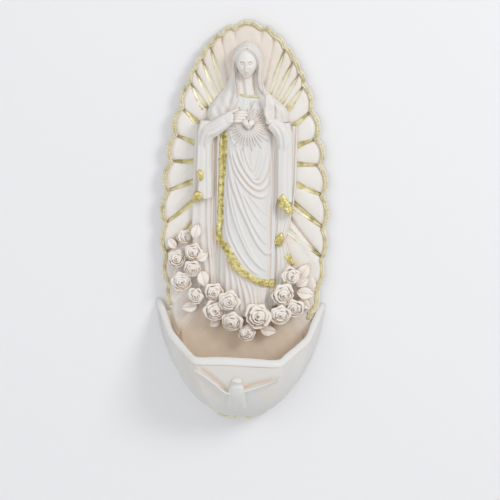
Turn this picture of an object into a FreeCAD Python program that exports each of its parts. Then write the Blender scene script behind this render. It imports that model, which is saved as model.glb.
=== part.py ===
import FreeCAD, Part
import Sketcher
import math
import os

# Holy water stoup: a scalloped wall plate with a relief figure, a garland of roses and a basin.
# Millimetres. The origin is the middle of the plate on its wall face. +X is to the viewer's right,
# +Z is up and +Y goes into the wall, so a depth of d in front of the wall is y = -d.

doc = FreeCAD.newDocument("HolyWaterStoup")

# ---------------------------------------------------------------- driving dimensions

SIZES = [
    ("plate_half_width", 41, "oval of the back plate, from its middle to a lobe"),
    ("plate_half_height", 96, "the same, upwards"),
    ("plate_thick", 4, "slab under the panels"),
    ("panel_rise", 1.6, "raised panels above the slab"),
    ("lobe_sag", 0.17, "how far a lobe bulges, as a share of its chord"),
    ("ray_source_z", 28, "height that the rays spread from"),
    ("ray_root_share", 0.48, "where a ray starts, as a share of the way to its cusp"),
    ("ray_width", 2.4, "width of a ray at its root"),
    ("ray_valley", 1.2, "depth of the valley between two panels"),
    ("ray_fill", 0.7, "thickness of the gilding in the valley"),
    ("ray_stop", 0.7, "from a ray's point to the gilded edge"),
    ("edge_inset", 0.4, "ledge outside the gilded edge"),
    ("edge_width", 1.7, "width of the gilded edge"),
    ("edge_rise", 2.2, "gilded edge above the slab"),
    ("rim_back_z", -41, "top of the basin's rim at the wall"),
    ("rim_front_z", -64, "top of the rim at the front"),
    ("basin_foot_z", -95.2, "lowest point of the basin"),
    ("basin_half_width", 41.5, "basin at the wall, from its middle"),
    ("basin_side_half", 35, "side corner of the basin, from its middle"),
    ("basin_side_reach", 18, "side corner, in front of the wall"),
    ("basin_front_half", 21.5, "front facet, half its width"),
    ("basin_reach", 37, "front facet, in front of the wall"),
    ("basin_wall", 2.5, "wall of the basin"),
    ("basin_floor", 5, "floor of the basin"),
    ("lip_height", 2.4, "thickness of the lip, square to the rim"),
    ("lip_overhang", 0.6, "lip outside the basin's wall"),
    ("dove_top_z", -73.8, "middle of the dove's head"),
    ("dove_tail_z", -87.6, "end of the dove's tail"),
    ("dove_head_radius", 2.8, "dove's head"),
    ("dove_tail_radius", 4.3, "dove's spread tail"),
    ("wing_span", 22, "wing tip from the dove's middle"),
    ("wing_tip_z", -67, "height of the wing tips"),
    ("wing_rise", 1.3, "wing above the facet"),
    ("wing_drop", 3.6, "from the dove's head down to the wings' roots"),
    ("dress_hem_z", -46, "hem of the robe"),
    ("dress_knee_z", -20.3, "height of the knees"),
    ("dress_waist_z", 21.2, "height of the waist"),
    ("dress_chest_z", 44.6, "height of the breast"),
    ("dress_shoulder_z", 55.4, "height of the shoulders"),
    ("dress_collar_z", 60.9, "height of the neckline"),
    ("dress_middle", 1, "middle of the robe"),
    ("hem_half", 13, "robe at the hem, from its middle"),
    ("waist_half", 11.6, "robe at the waist"),
    ("chest_half", 12.6, "robe at the breast"),
    ("shoulder_half", 9.5, "robe at the shoulders"),
    ("collar_half", 4.8, "robe at the neckline"),
    ("robe_rise", 7.5, "robe in front of the panels"),
    ("dress_thick", 1.6, "overdress on the robe"),
    ("fold_radius", 1.2, "a fold of the robe"),
    ("band_width", 3.8, "gilded hem band"),
    ("band_rise", 0.8, "gilded hem band above the dress"),
    ("mantle_half", 25.5, "outer edge of the mantle, from the middle"),
    ("mantle_inner_left", 13.5, "left side's inner edge, from the middle"),
    ("mantle_inner_right", 15.2, "right side's inner edge, from the middle"),
    ("mantle_top_z", 45.6, "top of the mantle's sides"),
    ("mantle_foot_z", -41, "foot of the mantle's sides"),
    ("mantle_rise", 4.6, "mantle in front of the panels"),
    ("mantle_fold", 1.9, "radius of a mantle fold"),
    ("sleeve_rise", 10, "sleeve in front of the panels"),
    ("sleeve_foot_z", 11.8, "end of the hanging sleeve"),
    ("sleeve_width", 6.2, "width of the hanging sleeve"),
    ("forearm_radius", 3.6, "cuff of the forearm"),
    ("hand_rise", 10.6, "middle of a hand in front of the panels"),
    ("finger_radius", 0.62, "a finger"),
    ("finger_length", 5.6, "a finger"),
    ("veil_rise", 7.4, "veil in front of the panels"),
    ("veil_back", 1.4, "veil behind the head and the neck"),
    ("veil_top_z", 86, "top of the veil"),
    ("veil_half", 7.6, "veil beside the head"),
    ("veil_shoulder_half", 19.2, "veil at the shoulders"),
    ("veil_shoulder_z", 53.5, "height where the veil reaches the shoulders"),
    ("head_z", 76.4, "middle of the head"),
    ("head_half_width", 5.2, "head, half its width"),
    ("head_half_height", 7.5, "head, half its height"),
    ("head_half_depth", 5.5, "head, half its depth"),
    ("hair_thick", 1.1, "hair round the head"),
    ("neck_radius", 3.4, "neck"),
    ("trim_radius", 0.5, "gilded line at the neck"),
    ("heart_x", 1.8, "middle of the heart, across"),
    ("heart_z", 47.7, "middle of the heart, upwards"),
    ("heart_half", 3.5, "heart, half its width"),
    ("heart_rise", 3, "heart above the dress"),
    ("heart_ray_length", 8, "ray round the heart"),
    ("heart_ray_width", 0.9, "ray round the heart, at its widest"),
    ("heart_ray_rise", 0.8, "ray round the heart, above the dress"),
    ("leaf_fullness", 1, "how far the leaves stand out, as a share of the drawn depth"),
    ("hanger_z", 58, "middle of the keyhole's round hole"),
    ("hanger_width", 26, "keyhole plate, across"),
    ("hanger_height", 18, "keyhole plate, upwards"),
    ("hanger_thick", 1.2, "sheet of the keyhole plate"),
    ("hanger_hole_radius", 4.2, "hole that the screw's head goes through"),
    ("hanger_slot_radius", 2.1, "slot that the screw's shank hangs in"),
    ("hanger_room", 3, "room for the screw's head behind the plate"),
    ("screw_radius", 1.2, "screw that holds the keyhole plate"),
    ("screw_head_radius", 2.2, "its head"),
    ("screw_length", 3.4, "its length under the head"),
]

# Each rose: middle across and upwards, radius, and how far its heart stands in front of the panels.
# Those in ON_MANTLE sit on the mantle and the others on the panels.
ON_MANTLE = (2, 4, 6, 15)
ROSES = [
    (-28.4, -8.7, 3.5, 4.4), (-23.6, -15.5, 3.9, 8.0), (-31.6, -19.5, 4.1, 5.2),
    (-23.9, -23.1, 3.8, 8.4), (-29.4, -30.0, 4.6, 6.4), (-22.2, -36.5, 3.7, 8.6),
    (-13.4, -34.4, 4.2, 9.4), (-12.9, -43.5, 5.1, 9.0), (-5.7, -38.0, 4.7, 11.4),
    (-4.3, -48.4, 4.7, 10.4), (2.8, -53.9, 3.8, 9.0), (7.8, -45.3, 5.7, 11.4),
    (18.5, -44.3, 4.6, 9.4), (25.3, -41.4, 4.3, 7.4), (19.8, -34.5, 5.0, 9.8),
    (23.6, -25.5, 4.1, 8.4),
]

sheet = doc.addObject("Spreadsheet::Sheet", "Sizes")


def add_cell(row, alias, amount, meaning):
    sheet.set(f"A{row}", alias)
    sheet.set(f"B{row}", str(amount))
    sheet.set(f"C{row}", meaning)
    sheet.setAlias(f"B{row}", alias)


row = 1
for alias, amount, meaning in SIZES:
    add_cell(row, alias, amount, meaning)
    row += 1
for number, (across, upwards, radius, rise) in enumerate(ROSES, 1):
    add_cell(row, f"rose_{number:02d}_across", across, "middle of the rose")
    add_cell(row + 1, f"rose_{number:02d}_up", upwards, "middle of the rose")
    add_cell(row + 2, f"rose_{number:02d}_radius", radius, "outer petals")
    add_cell(row + 3, f"rose_{number:02d}_rise", rise, "heart of the rose in front of the panels")
    row += 4
doc.recompute()

FRONT = "(Sizes.plate_thick + Sizes.panel_rise)"    # depth of the panels' front

# ---------------------------------------------------------------- helpers

nodes = []


def value(rule):
    """The number that a rule over the sheet gives."""
    return float(sheet.evalExpression(str(rule)))


def keep(thing, label):
    """Mark an object as a node of the model."""
    thing.Label = label
    nodes.append(thing)
    return thing


def bind(thing, **rules):
    for name, rule in rules.items():
        thing.setExpression(name, str(rule))
    return thing


def place(thing, across, depth, up):
    """Move an object to a place given by rules, with its depth in front of the wall."""
    thing.setExpression("Placement.Base.x", str(across))
    thing.setExpression("Placement.Base.y", f"-({depth})")
    thing.setExpression("Placement.Base.z", str(up))
    return thing


def polygon(body, name, role, offset, corners, tilt=None):
    """A closed sketch on an origin plane of the body, with each corner bound to its rules."""
    sketch = body.newObject("Sketcher::SketchObject", name)
    plane = [part for part in body.Origin.OriginFeatures if part.Role == role][0]
    sketch.AttachmentSupport = [(plane, "")]
    sketch.MapMode = "FlatFace"
    if tilt:
        turn = FreeCAD.Rotation(FreeCAD.Vector(1, 0, 0), 30)
        sketch.AttachmentOffset = FreeCAD.Placement(FreeCAD.Vector(), turn)
        sketch.setExpression("AttachmentOffset.Rotation.Angle", tilt)
    sketch.setExpression("AttachmentOffset.Base.z", str(offset))
    points = [FreeCAD.Vector(value(a), value(b), 0) for a, b in corners]
    for index, point in enumerate(points):
        sketch.addGeometry(Part.LineSegment(point, points[(index + 1) % len(points)]))
    for index in range(len(points)):
        sketch.addConstraint(Sketcher.Constraint("Coincident", index, 2, (index + 1) % len(points), 1))
    for index, rules in enumerate(corners):
        for kind, rule, start in zip(("DistanceX", "DistanceY"), rules, points[index]):
            number = sketch.addConstraint(Sketcher.Constraint(kind, -1, 1, index, 1, start))
            sketch.setExpression(f"Constraints[{number}]", str(rule))
    return sketch


def pad(name, corners, depth, thick, rounding=None):
    """A relief piece: an outline seen from the front, padded away from the wall."""
    body = doc.addObject("PartDesign::Body", name)
    sketch = polygon(body, name + "_outline", "XZ_Plane", depth, corners)
    solid = body.newObject("PartDesign::Pad", name + "_pad")
    solid.Profile = sketch
    solid.setExpression("Length", str(thick))
    doc.recompute()
    if rounding:
        front = -value(f"({depth}) + ({thick})")
        edges = [f"Edge{number}" for number, edge in enumerate(solid.Shape.Edges, 1)
                 if all(abs(vertex.Y - front) < 0.001 for vertex in edge.Vertexes)]
        fillet = body.newObject("PartDesign::Fillet", name + "_round")
        fillet.Base = (solid, edges)
        fillet.setExpression("Radius", str(rounding))
    return body


def loft(name, sections):
    """A solid through level sections: each one is a height and its corners."""
    body = doc.addObject("PartDesign::Body", name)
    sketches = [polygon(body, f"{name}_level_{number}", "XY_Plane", height, corners)
                for number, (height, corners) in enumerate(sections)]
    solid = body.newObject("PartDesign::AdditiveLoft", name + "_loft")
    solid.Profile = sketches[0]
    solid.Sections = sketches[1:]
    solid.Ruled = True
    return body


def rod(name, start, end, foot_radius, tip_radius):
    """A round tapering bar between two places, each given as rules across, depth and up."""
    steps = [f"(({b}) - ({a}))" for a, b in zip(start, end)]
    cone = doc.addObject("Part::Cone", name)
    bind(cone, Radius1=foot_radius, Radius2=tip_radius,
         Height="sqrt(" + " + ".join(f"{step}^2" for step in steps) + ")")
    along = FreeCAD.Vector(value(steps[0]), -value(steps[1]), value(steps[2]))
    cone.Placement = FreeCAD.Placement(FreeCAD.Vector(),
                                       FreeCAD.Rotation(FreeCAD.Vector(0, 0, 1), along))
    return place(cone, *start)


def ball(name, centre, half_width, half_depth, half_height):
    oval = doc.addObject("Part::Ellipsoid", name)
    bind(oval, Radius1=half_height, Radius2=half_width, Radius3=half_depth)
    oval.Angle1 = -90
    oval.Angle2 = 90
    oval.Angle3 = 360
    return place(oval, *centre)


def fuse(name, things):
    whole = doc.addObject("Part::MultiFuse", name)
    whole.Shapes = things
    whole.Refine = False
    return whole


def cut(name, base, tools):
    """What is left of a piece where its carriers and neighbours are taken out of it."""
    doc.recompute()
    for number, tool in enumerate(tools):
        if base.Shape.BoundBox.intersect(tool.Shape.BoundBox):
            left = doc.addObject("Part::Cut", f"{name}_{number}")
            left.Base = base
            left.Tool = tool
            left.Refine = False
            doc.recompute()
            base = left
    return base


def common(name, first, second):
    both = doc.addObject("Part::Common", name)
    both.Base = first
    both.Tool = second
    both.Refine = False
    return both


def group(name, things):
    """Separate solids that share a node."""
    whole = doc.addObject("Part::Compound", name)
    whole.Links = things
    return whole


def mirrored(corners):
    return [(f"-({a})", b) for a, b in reversed(corners)]


# ---------------------------------------------------------------- the plate's scalloped outline

# Directions of the inward cusps from the rays' source, in degrees from straight up.
CUSPS = [6, 12, 18, 24, 30, 36, 51, 70.5, 91, 112, 129, 140.5, 148.5, 154.5, 160.5, 166.5, 172.5]
CUSPS = [-angle for angle in reversed(CUSPS)] + CUSPS + [180]
FIRST_RAY = 18    # the rays nearer to straight up are hidden by the veil
LAST_RAY = 140.5    # and those nearer to straight down by the roses and the basin


def oval_point(angle):
    """Where a ray from the source meets the plate's oval."""
    turn = math.radians(angle)
    wide, high = value("Sizes.plate_half_width"), value("Sizes.plate_half_height")
    source = value("Sizes.ray_source_z")
    square = (math.sin(turn) / wide) ** 2 + (math.cos(turn) / high) ** 2
    half = source * math.cos(turn) / high ** 2
    rest = (source / high) ** 2 - 1
    length = (-half + math.sqrt(half ** 2 - square * rest)) / square
    return FreeCAD.Vector(length * math.sin(turn), 0, source + length * math.cos(turn))


def cusp_point(index):
    """A cusp lies inside the oval by its lobes' sag."""
    here, source = oval_point(CUSPS[index]), FreeCAD.Vector(0, 0, value("Sizes.ray_source_z"))
    before, after = oval_point(CUSPS[index - 1]), oval_point(CUSPS[(index + 1) % len(CUSPS)])
    sag = value("Sizes.lobe_sag") * (before - here).Length / 2
    sag += value("Sizes.lobe_sag") * (after - here).Length / 2
    return here + (source - here).normalize() * sag


def lobe(index):
    """The arc of one lobe, from its cusp to the next, as a circle's centre, radius and crest."""
    start, end = cusp_point(index), cusp_point((index + 1) % len(CUSPS))
    after = CUSPS[(index + 1) % len(CUSPS)]
    middle = (CUSPS[index] + (after if after > CUSPS[index] else after + 360)) / 2
    arc = Part.Arc(start, oval_point(middle), end).toShape().Curve
    outward = (oval_point(middle) - arc.Center).normalize()
    return arc.Center, arc.Radius, outward


def crossing(first, second, inset):
    """Where two neighbouring lobes meet when both are inset."""
    (one, radius_one, way_one), (two, radius_two, way_two) = first, second
    radius_one, radius_two = radius_one - inset, radius_two - inset
    gap = two - one
    share = (gap.Length ** 2 + radius_one ** 2 - radius_two ** 2) / (2 * gap.Length)
    rise = math.sqrt(max(0.0, radius_one ** 2 - share ** 2))
    along = FreeCAD.Vector(gap).normalize()
    out = FreeCAD.Vector(along.z, 0, -along.x)
    out = out if out.dot(way_one + way_two) > 0 else -out
    return one + along * share + out * rise


LOBES = [lobe(index) for index in range(len(CUSPS))]


def scallops(name, inset, depth):
    """The plate's outline, inset all round, as a face at a depth in front of the wall."""
    inset, back = value(inset), FreeCAD.Vector(0, -value(depth), 0)
    arcs = []
    for index, (centre, radius, outward) in enumerate(LOBES):
        start = crossing(LOBES[index - 1], LOBES[index], inset)
        end = crossing(LOBES[index], LOBES[(index + 1) % len(LOBES)], inset)
        crest = centre + outward * (radius - inset)
        arcs.append(Part.Arc(start + back, crest + back, end + back).toShape())
    outline = doc.addObject("Part::Feature", name)
    outline.Shape = Part.Wire(arcs)
    return outline


def slab(name, inset, depth, thick):
    """The scalloped outline as a solid of one thickness."""
    solid = doc.addObject("Part::Extrusion", name)
    solid.Base = scallops(name + "_outline", inset, depth)
    solid.Dir = FreeCAD.Vector(0, -1, 0)
    solid.DirMode = "Custom"
    solid.Solid = True
    solid.setExpression("LengthFwd", thick)
    return solid


def stack(name, rings):
    """A solid through scalloped outlines, each given as its inset and depth."""
    outlines = [scallops(f"{name}_ring_{number}", inset, depth)
                for number, (inset, depth) in enumerate(rings)]
    solid = doc.addObject("Part::Loft", name)
    solid.Sections = outlines
    solid.Solid = True
    solid.Ruled = True
    return solid


def ray_wedges(name, angles, depth, thick):
    """Flat wedges from the rays' roots to the cusps, wide at the figure and pointed outside."""
    share, half = value("Sizes.ray_root_share"), value("Sizes.ray_width") / 2
    reach = value("Sizes.edge_inset + Sizes.edge_width + Sizes.ray_stop")
    source = FreeCAD.Vector(0, 0, value("Sizes.ray_source_z"))
    back = FreeCAD.Vector(0, -value(depth), 0)
    wedges = []
    for angle in angles:
        tip = cusp_point(CUSPS.index(angle))
        way = (tip - source).normalize()
        side = FreeCAD.Vector(way.z, 0, -way.x) * half
        root = source + (tip - source) * share
        tip = tip - way * reach
        corners = [point + back for point in (root - side, root + side, tip)]
        face = Part.Face(Part.makePolygon(corners + corners[:1]))
        wedges.append(face.extrude(FreeCAD.Vector(0, -value(thick), 0)))
    result = doc.addObject("Part::Feature", name)
    result.Shape = Part.makeCompound(wedges)
    return result


# ---------------------------------------------------------------- back plate, edge and rays

left_rays = [angle for angle in CUSPS if -LAST_RAY <= angle <= -FIRST_RAY]
right_rays = [angle for angle in CUSPS if FIRST_RAY <= angle <= LAST_RAY]

hanger_up = "(Sizes.hanger_z + Sizes.hanger_slot_radius)"    # middle of the keyhole plate


def hanger_box(name, width, height, depth, thick):
    box = doc.addObject("Part::Box", name)
    bind(box, Length=width, Width=thick, Height=height)
    return place(box, f"-({width}) / 2", f"({depth}) + ({thick})", f"{hanger_up} - ({height}) / 2")


def screw_places():
    """Two screws, one at each end of the keyhole plate."""
    reach = "(Sizes.hanger_width / 2 - Sizes.screw_head_radius - 0.9)"
    return [f"-{reach}", reach]


def straight_hole(name, across, up, radius, depth, length):
    """A round bar square to the wall, from a depth forwards."""
    return rod(name, (across, depth, up), (across, f"({depth}) + ({length})", up), radius, radius)


recess = hanger_box("hanger_recess", "Sizes.hanger_width", "Sizes.hanger_height", "0", "Sizes.hanger_thick")
room = hanger_box("hanger_room", "Sizes.hanger_hole_radius * 2 + 2", "Sizes.hanger_height - 3",
                  "Sizes.hanger_thick", "Sizes.hanger_room")
screw_holes = [straight_hole(f"screw_hole_{number}", across, hanger_up, "Sizes.screw_radius",
                             "Sizes.hanger_thick", "Sizes.screw_length - Sizes.hanger_thick + 0.2")
               for number, across in enumerate(screw_places())]
back_slab = slab("back_slab", "0", "0", "Sizes.plate_thick")
panels = stack("panels", [("Sizes.edge_inset + Sizes.edge_width", "Sizes.plate_thick"),
                          ("Sizes.edge_inset + Sizes.edge_width", FRONT)])
valleys = ray_wedges("ray_valleys", left_rays + right_rays, f"{FRONT} - Sizes.ray_valley",
                     "Sizes.ray_valley + 1")
plate_blank = fuse("plate_blank", [back_slab, panels])
back_plate = keep(cut("plate", plate_blank, [valleys, recess, room] + screw_holes), "back_plate")

edge_outside = stack("edge_outside", [
    ("Sizes.edge_inset", "Sizes.plate_thick"),
    ("Sizes.edge_inset", "Sizes.plate_thick + Sizes.edge_rise * 0.6"),
    ("Sizes.edge_inset + Sizes.edge_width * 0.3", "Sizes.plate_thick + Sizes.edge_rise")])
edge_inside = slab("edge_inside", "Sizes.edge_inset + Sizes.edge_width", "Sizes.plate_thick - 1",
                   "Sizes.edge_rise + 2")
edge_ring = cut("edge_ring", edge_outside, [edge_inside])

for label, angles in (("rays_left", left_rays), ("rays_right", right_rays)):
    keep(ray_wedges(label, angles, f"{FRONT} - Sizes.ray_valley", "Sizes.ray_fill"), label)

# ---------------------------------------------------------------- hanger in the back

sheet_blank = hanger_box("hanger_sheet", "Sizes.hanger_width", "Sizes.hanger_height", "0",
                         "Sizes.hanger_thick")
keyhole_round = straight_hole("keyhole_round", "0", "Sizes.hanger_z", "Sizes.hanger_hole_radius",
                              "-1", "Sizes.hanger_thick + 2")
slot_up = "(Sizes.hanger_z + Sizes.hanger_hole_radius + Sizes.hanger_slot_radius)"
keyhole_top = straight_hole("keyhole_top", "0", slot_up, "Sizes.hanger_slot_radius", "-1",
                            "Sizes.hanger_thick + 2")
keyhole_slot = doc.addObject("Part::Box", "keyhole_slot")
bind(keyhole_slot, Length="Sizes.hanger_slot_radius * 2", Width="Sizes.hanger_thick + 2",
     Height=f"{slot_up} - Sizes.hanger_z")
place(keyhole_slot, "-Sizes.hanger_slot_radius", "Sizes.hanger_thick + 1", "Sizes.hanger_z")
screw_shanks, screw_heads = [], []
for number, across in enumerate(screw_places()):
    screw_shanks.append(straight_hole(f"screw_shank_{number}", across, hanger_up, "Sizes.screw_radius",
                                      "0.3", "Sizes.screw_length - 0.3"))
    screw_heads.append(rod(f"screw_head_{number}", (across, "0.1", hanger_up),
                           (across, "Sizes.hanger_thick - 0.1", hanger_up),
                           "Sizes.screw_head_radius", "Sizes.screw_radius"))
screws = [fuse(f"screw_{number}", [shank, head])
          for number, (shank, head) in enumerate(zip(screw_shanks, screw_heads))]
keep(group("screws", screws), "hanger_screws")
keep(cut("hanger", sheet_blank, [keyhole_round, keyhole_top, keyhole_slot] + screws), "hanger_plate")

# ---------------------------------------------------------------- basin

RIM_SLOPE = "atan((Sizes.rim_back_z - Sizes.rim_front_z) / Sizes.basin_reach)"
LEVELS = [-0.12, 0.15, 0.35, 0.53, 0.68, 0.8, 0.89, 0.96]    # sections, as shares of the basin's fall


def basin_section(share, grow, floor="Sizes.basin_foot_z"):
    """Half an octagon against the wall. Each corner draws in by a law of its own on the way down."""
    fall = max(share, 0)
    height = f"(Sizes.rim_back_z + ({floor} - Sizes.rim_back_z) * {share})"
    wall = f"(Sizes.basin_half_width * sqrt(1 - {fall}^2) + {grow})"
    side = f"(Sizes.basin_side_half * sqrt(1 - {fall}^2.7) + {grow})"
    side_reach = f"(Sizes.basin_side_reach * sqrt(1 - {fall}^3) + {grow})"
    front = f"(Sizes.basin_front_half * sqrt(1 - {fall}^4) + {grow} * 0.6)"
    reach = f"(Sizes.basin_reach * sqrt(1 - {fall}^3) + {grow})"
    right = [(wall, "0"), (side, f"-{side_reach}"), (front, f"-{reach}")]
    return height, mirrored(right) + right


def basin_loft(name, grow, floor="Sizes.basin_foot_z"):
    return loft(name, [basin_section(share, grow, floor) for share in LEVELS])


def above_rim(name, drop, thick):
    """The space over the sloping rim, from so far under it."""
    body = doc.addObject("PartDesign::Body", name)
    wide, deep = "(Sizes.basin_half_width + 20)", "(Sizes.basin_reach * 2 + 20)"
    corners = [(f"-{wide}", "20"), (wide, "20"), (wide, f"-{deep}"), (f"-{wide}", f"-{deep}")]
    sketch = polygon(body, name + "_outline", "XY_Plane", "Sizes.rim_back_z", corners, RIM_SLOPE)
    solid = body.newObject("PartDesign::Pad", name + "_pad")
    solid.Profile = sketch
    solid.Type2 = "Length"
    solid.SideType = "Two sides"
    solid.setExpression("Length", thick)
    solid.setExpression("Length2", drop)
    return body


basin_outside = basin_loft("basin_outside", "0")
basin_inside = basin_loft("basin_inside", "(-Sizes.basin_wall)",
                          "(Sizes.basin_foot_z + Sizes.basin_floor)")
plate_envelope = slab("plate_envelope", "0", "-1", "Sizes.plate_thick + 1")
panel_envelope = slab("panel_envelope", "Sizes.edge_inset + Sizes.edge_width", "0", FRONT)
behind_water = doc.addObject("Part::Box", "behind_water")    # beside the plate the basin has a back as thick
bind(behind_water, Length="Sizes.basin_half_width * 2 + 20", Width="Sizes.plate_thick + 10",
     Height="Sizes.rim_back_z - Sizes.basin_foot_z + 40")
place(behind_water, "-Sizes.basin_half_width - 10", "Sizes.plate_thick", "Sizes.basin_foot_z - 10")
basin_hollow = cut("basin_hollow", basin_inside, [behind_water])
shell_blank = cut("shell_blank", basin_outside,
                  [basin_hollow, above_rim("above_shell", "Sizes.lip_height", "60")])
basin_shell = keep(cut("basin", shell_blank, [plate_envelope, panel_envelope]), "basin_shell")

lip_outside = basin_loft("lip_outside", "Sizes.lip_overhang")
lip_inside = basin_loft("lip_inside", "(-Sizes.basin_wall - Sizes.lip_overhang * 0.4)",
                        "(Sizes.basin_foot_z + Sizes.basin_floor)")
lip_layer = common("lip_layer", lip_outside, above_rim("lip_slab", "Sizes.lip_height", "0.001"))
basin_lip = keep(cut("lip", lip_layer, [lip_inside, plate_envelope, panel_envelope]), "basin_lip")

basin_cover = [basin_shell, basin_lip]
above_lip = doc.addObject("Part::Box", "above_lip")
bind(above_lip, Length="Sizes.plate_half_width * 2 + 20", Width="40",
     Height="Sizes.plate_half_height + 20 - Sizes.rim_back_z")
place(above_lip, "-Sizes.plate_half_width - 10", "30", "Sizes.rim_back_z + 0.3")
keep(common("edge_over", edge_ring, above_lip), "gold_edge_upper")
under_basin = doc.addObject("Part::Box", "under_basin")
bind(under_basin, Length="Sizes.plate_half_width * 2 + 20", Width="40", Height="60")
place(under_basin, "-Sizes.plate_half_width - 10", "30", "Sizes.basin_foot_z + 4 - 60")
edge_foot = common("edge_foot", edge_ring, under_basin)
keep(cut("edge_under", edge_foot, basin_cover), "gold_edge_lower")

# ---------------------------------------------------------------- dove on the front facet


def facet_depth(height):
    """How far the front facet stands in front of the wall at a height."""
    fall = f"(({height}) - Sizes.rim_back_z) / (Sizes.basin_foot_z - Sizes.rim_back_z)"
    return f"(Sizes.basin_reach * sqrt(1 - ({fall})^3))"


wing_layer = basin_loft("wing_layer", "Sizes.wing_rise")
dove_parts = [
    ball("dove_head", ("0", f"{facet_depth('Sizes.dove_top_z')} + 0.4", "Sizes.dove_top_z"),
         "Sizes.dove_head_radius", "Sizes.dove_head_radius", "Sizes.dove_head_radius * 1.15"),
    rod("dove_back", ("0", facet_depth("Sizes.dove_tail_z"), "Sizes.dove_tail_z"),
        ("0", facet_depth("Sizes.dove_top_z"), "Sizes.dove_top_z"),
        "Sizes.dove_tail_radius", "Sizes.dove_head_radius")]
dove_body = keep(cut("dove", fuse("dove_blank", dove_parts), [basin_outside, basin_lip]), "dove_body")
wing_root_z = "(Sizes.dove_top_z - Sizes.wing_drop)"
for label, sign in (("dove_wing_left", "-1"), ("dove_wing_right", "1")):
    wing_corners = [("1", wing_root_z), ("Sizes.wing_span * 0.5", f"({wing_root_z} + Sizes.wing_tip_z) / 2"),
                    ("Sizes.wing_span * 0.93", "Sizes.wing_tip_z"), ("Sizes.wing_span", "Sizes.wing_tip_z - 1.5"),
                    ("Sizes.wing_span * 0.72", "Sizes.wing_tip_z - 8"),
                    ("Sizes.wing_span * 0.42", f"{wing_root_z} - 4.5"), ("1", f"{wing_root_z} - 7")]
    wing_corners = [(f"{sign} * ({a})", b) for a, b in wing_corners]
    wing_corners = wing_corners if sign == "-1" else wing_corners[::-1]
    wing_blank = pad(label + "_blank", wing_corners, "5", "Sizes.basin_reach")
    wing_flat = common(label + "_flat", wing_blank, wing_layer)
    leading = rod(label + "_edge", (f"{sign} * 2", facet_depth(wing_root_z), wing_root_z),
                  (f"{sign} * Sizes.wing_span * 0.93", f"{facet_depth('Sizes.wing_tip_z')}",
                   "Sizes.wing_tip_z"), "Sizes.wing_rise * 1.2", "Sizes.wing_rise * 0.9")
    wing_raw = fuse(label + "_raw", [wing_flat, leading])
    keep(cut(label + "_cut", wing_raw, [basin_outside, basin_lip, dove_body]), label)

# ---------------------------------------------------------------- robe and overdress

ROBE = [("Sizes.dress_hem_z", "Sizes.hem_half", 0.95), ("Sizes.dress_knee_z", "Sizes.hem_half", 1.05),
        ("Sizes.dress_waist_z", "Sizes.waist_half", 1.0), ("Sizes.dress_chest_z", "Sizes.chest_half", 1.05),
        ("Sizes.dress_shoulder_z", "Sizes.shoulder_half", 0.8),
        ("Sizes.dress_collar_z", "Sizes.collar_half", 0.62)]


def robe_section(height, half, fullness, grow):
    """Half an oval standing on the panels."""
    right = [(f"Sizes.dress_middle + ({half} + {grow}) * {across}",
              f"-({FRONT} + (Sizes.robe_rise * {fullness} + {grow}) * {out})")
             for across, out in ((1, 0), (0.9, 0.6), (0.52, 1))]
    left = [(f"2 * Sizes.dress_middle - ({across})", out) for across, out in reversed(right)]
    return height, left + right


def robe_loft(name, grow):
    return loft(name, [robe_section(height, half, fullness, grow) for height, half, fullness in ROBE])


robe_front = f"({FRONT} + Sizes.robe_rise)"
robe_core = robe_loft("robe_core", "0")
skirt_folds = [rod(f"skirt_fold_{number}",
                   (f"Sizes.dress_middle + Sizes.hem_half * {foot}", f"{robe_front} - 0.7",
                    "Sizes.dress_hem_z"),
                   (f"Sizes.dress_middle + Sizes.hem_half * {top}", f"{robe_front} - 0.4",
                    "Sizes.dress_knee_z + 4"), "Sizes.fold_radius * 1.25", "Sizes.fold_radius * 0.7")
               for number, (foot, top) in enumerate(((-0.52, -0.5), (-0.25, -0.2), (0.02, 0.05),
                                                     (0.3, 0.28), (0.55, 0.5)))]
tunic = keep(fuse("robe", [robe_core] + skirt_folds), "tunic")

HEM_LINE = [("-Sizes.mantle_inner_left + 2", "Sizes.dress_chest_z - 2"),
            ("-Sizes.mantle_inner_left + 1.3", "Sizes.dress_waist_z"),
            ("-Sizes.mantle_inner_left + 1.5", "Sizes.dress_knee_z + 13"),
            ("-Sizes.mantle_inner_left + 5", "Sizes.dress_knee_z + 7"),
            ("-Sizes.mantle_inner_left + 9.3", "Sizes.dress_knee_z + 0.3"),
            ("-Sizes.mantle_inner_left + 14.8", "Sizes.dress_knee_z - 4.4"),
            ("Sizes.mantle_inner_right - 7.2", "Sizes.dress_knee_z - 7.8"),
            ("Sizes.mantle_inner_right - 1.4", "Sizes.dress_knee_z - 9.2")]
dress_outline = [(f"{across} - Sizes.band_width / 2", up) for across, up in HEM_LINE[:3]]
dress_outline += [(across, f"{up} - Sizes.band_width / 2") for across, up in HEM_LINE[3:]]
dress_outline += [("Sizes.mantle_inner_right", "Sizes.dress_knee_z - 9"),
                  ("Sizes.mantle_inner_right", "Sizes.dress_chest_z"),
                  ("Sizes.collar_half + 3", "Sizes.dress_collar_z"),
                  ("-Sizes.collar_half - 1", "Sizes.dress_collar_z"),
                  ("-Sizes.mantle_inner_left + 0.4", "Sizes.dress_chest_z + 4")]
dress_layer = robe_loft("dress_layer", "Sizes.dress_thick")
dress_flat = common("dress_flat", dress_layer,
                    pad("dress_pattern", dress_outline, "1", "Sizes.robe_rise * 2 + 12"))
dress_front = f"({robe_front} + Sizes.dress_thick)"


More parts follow.
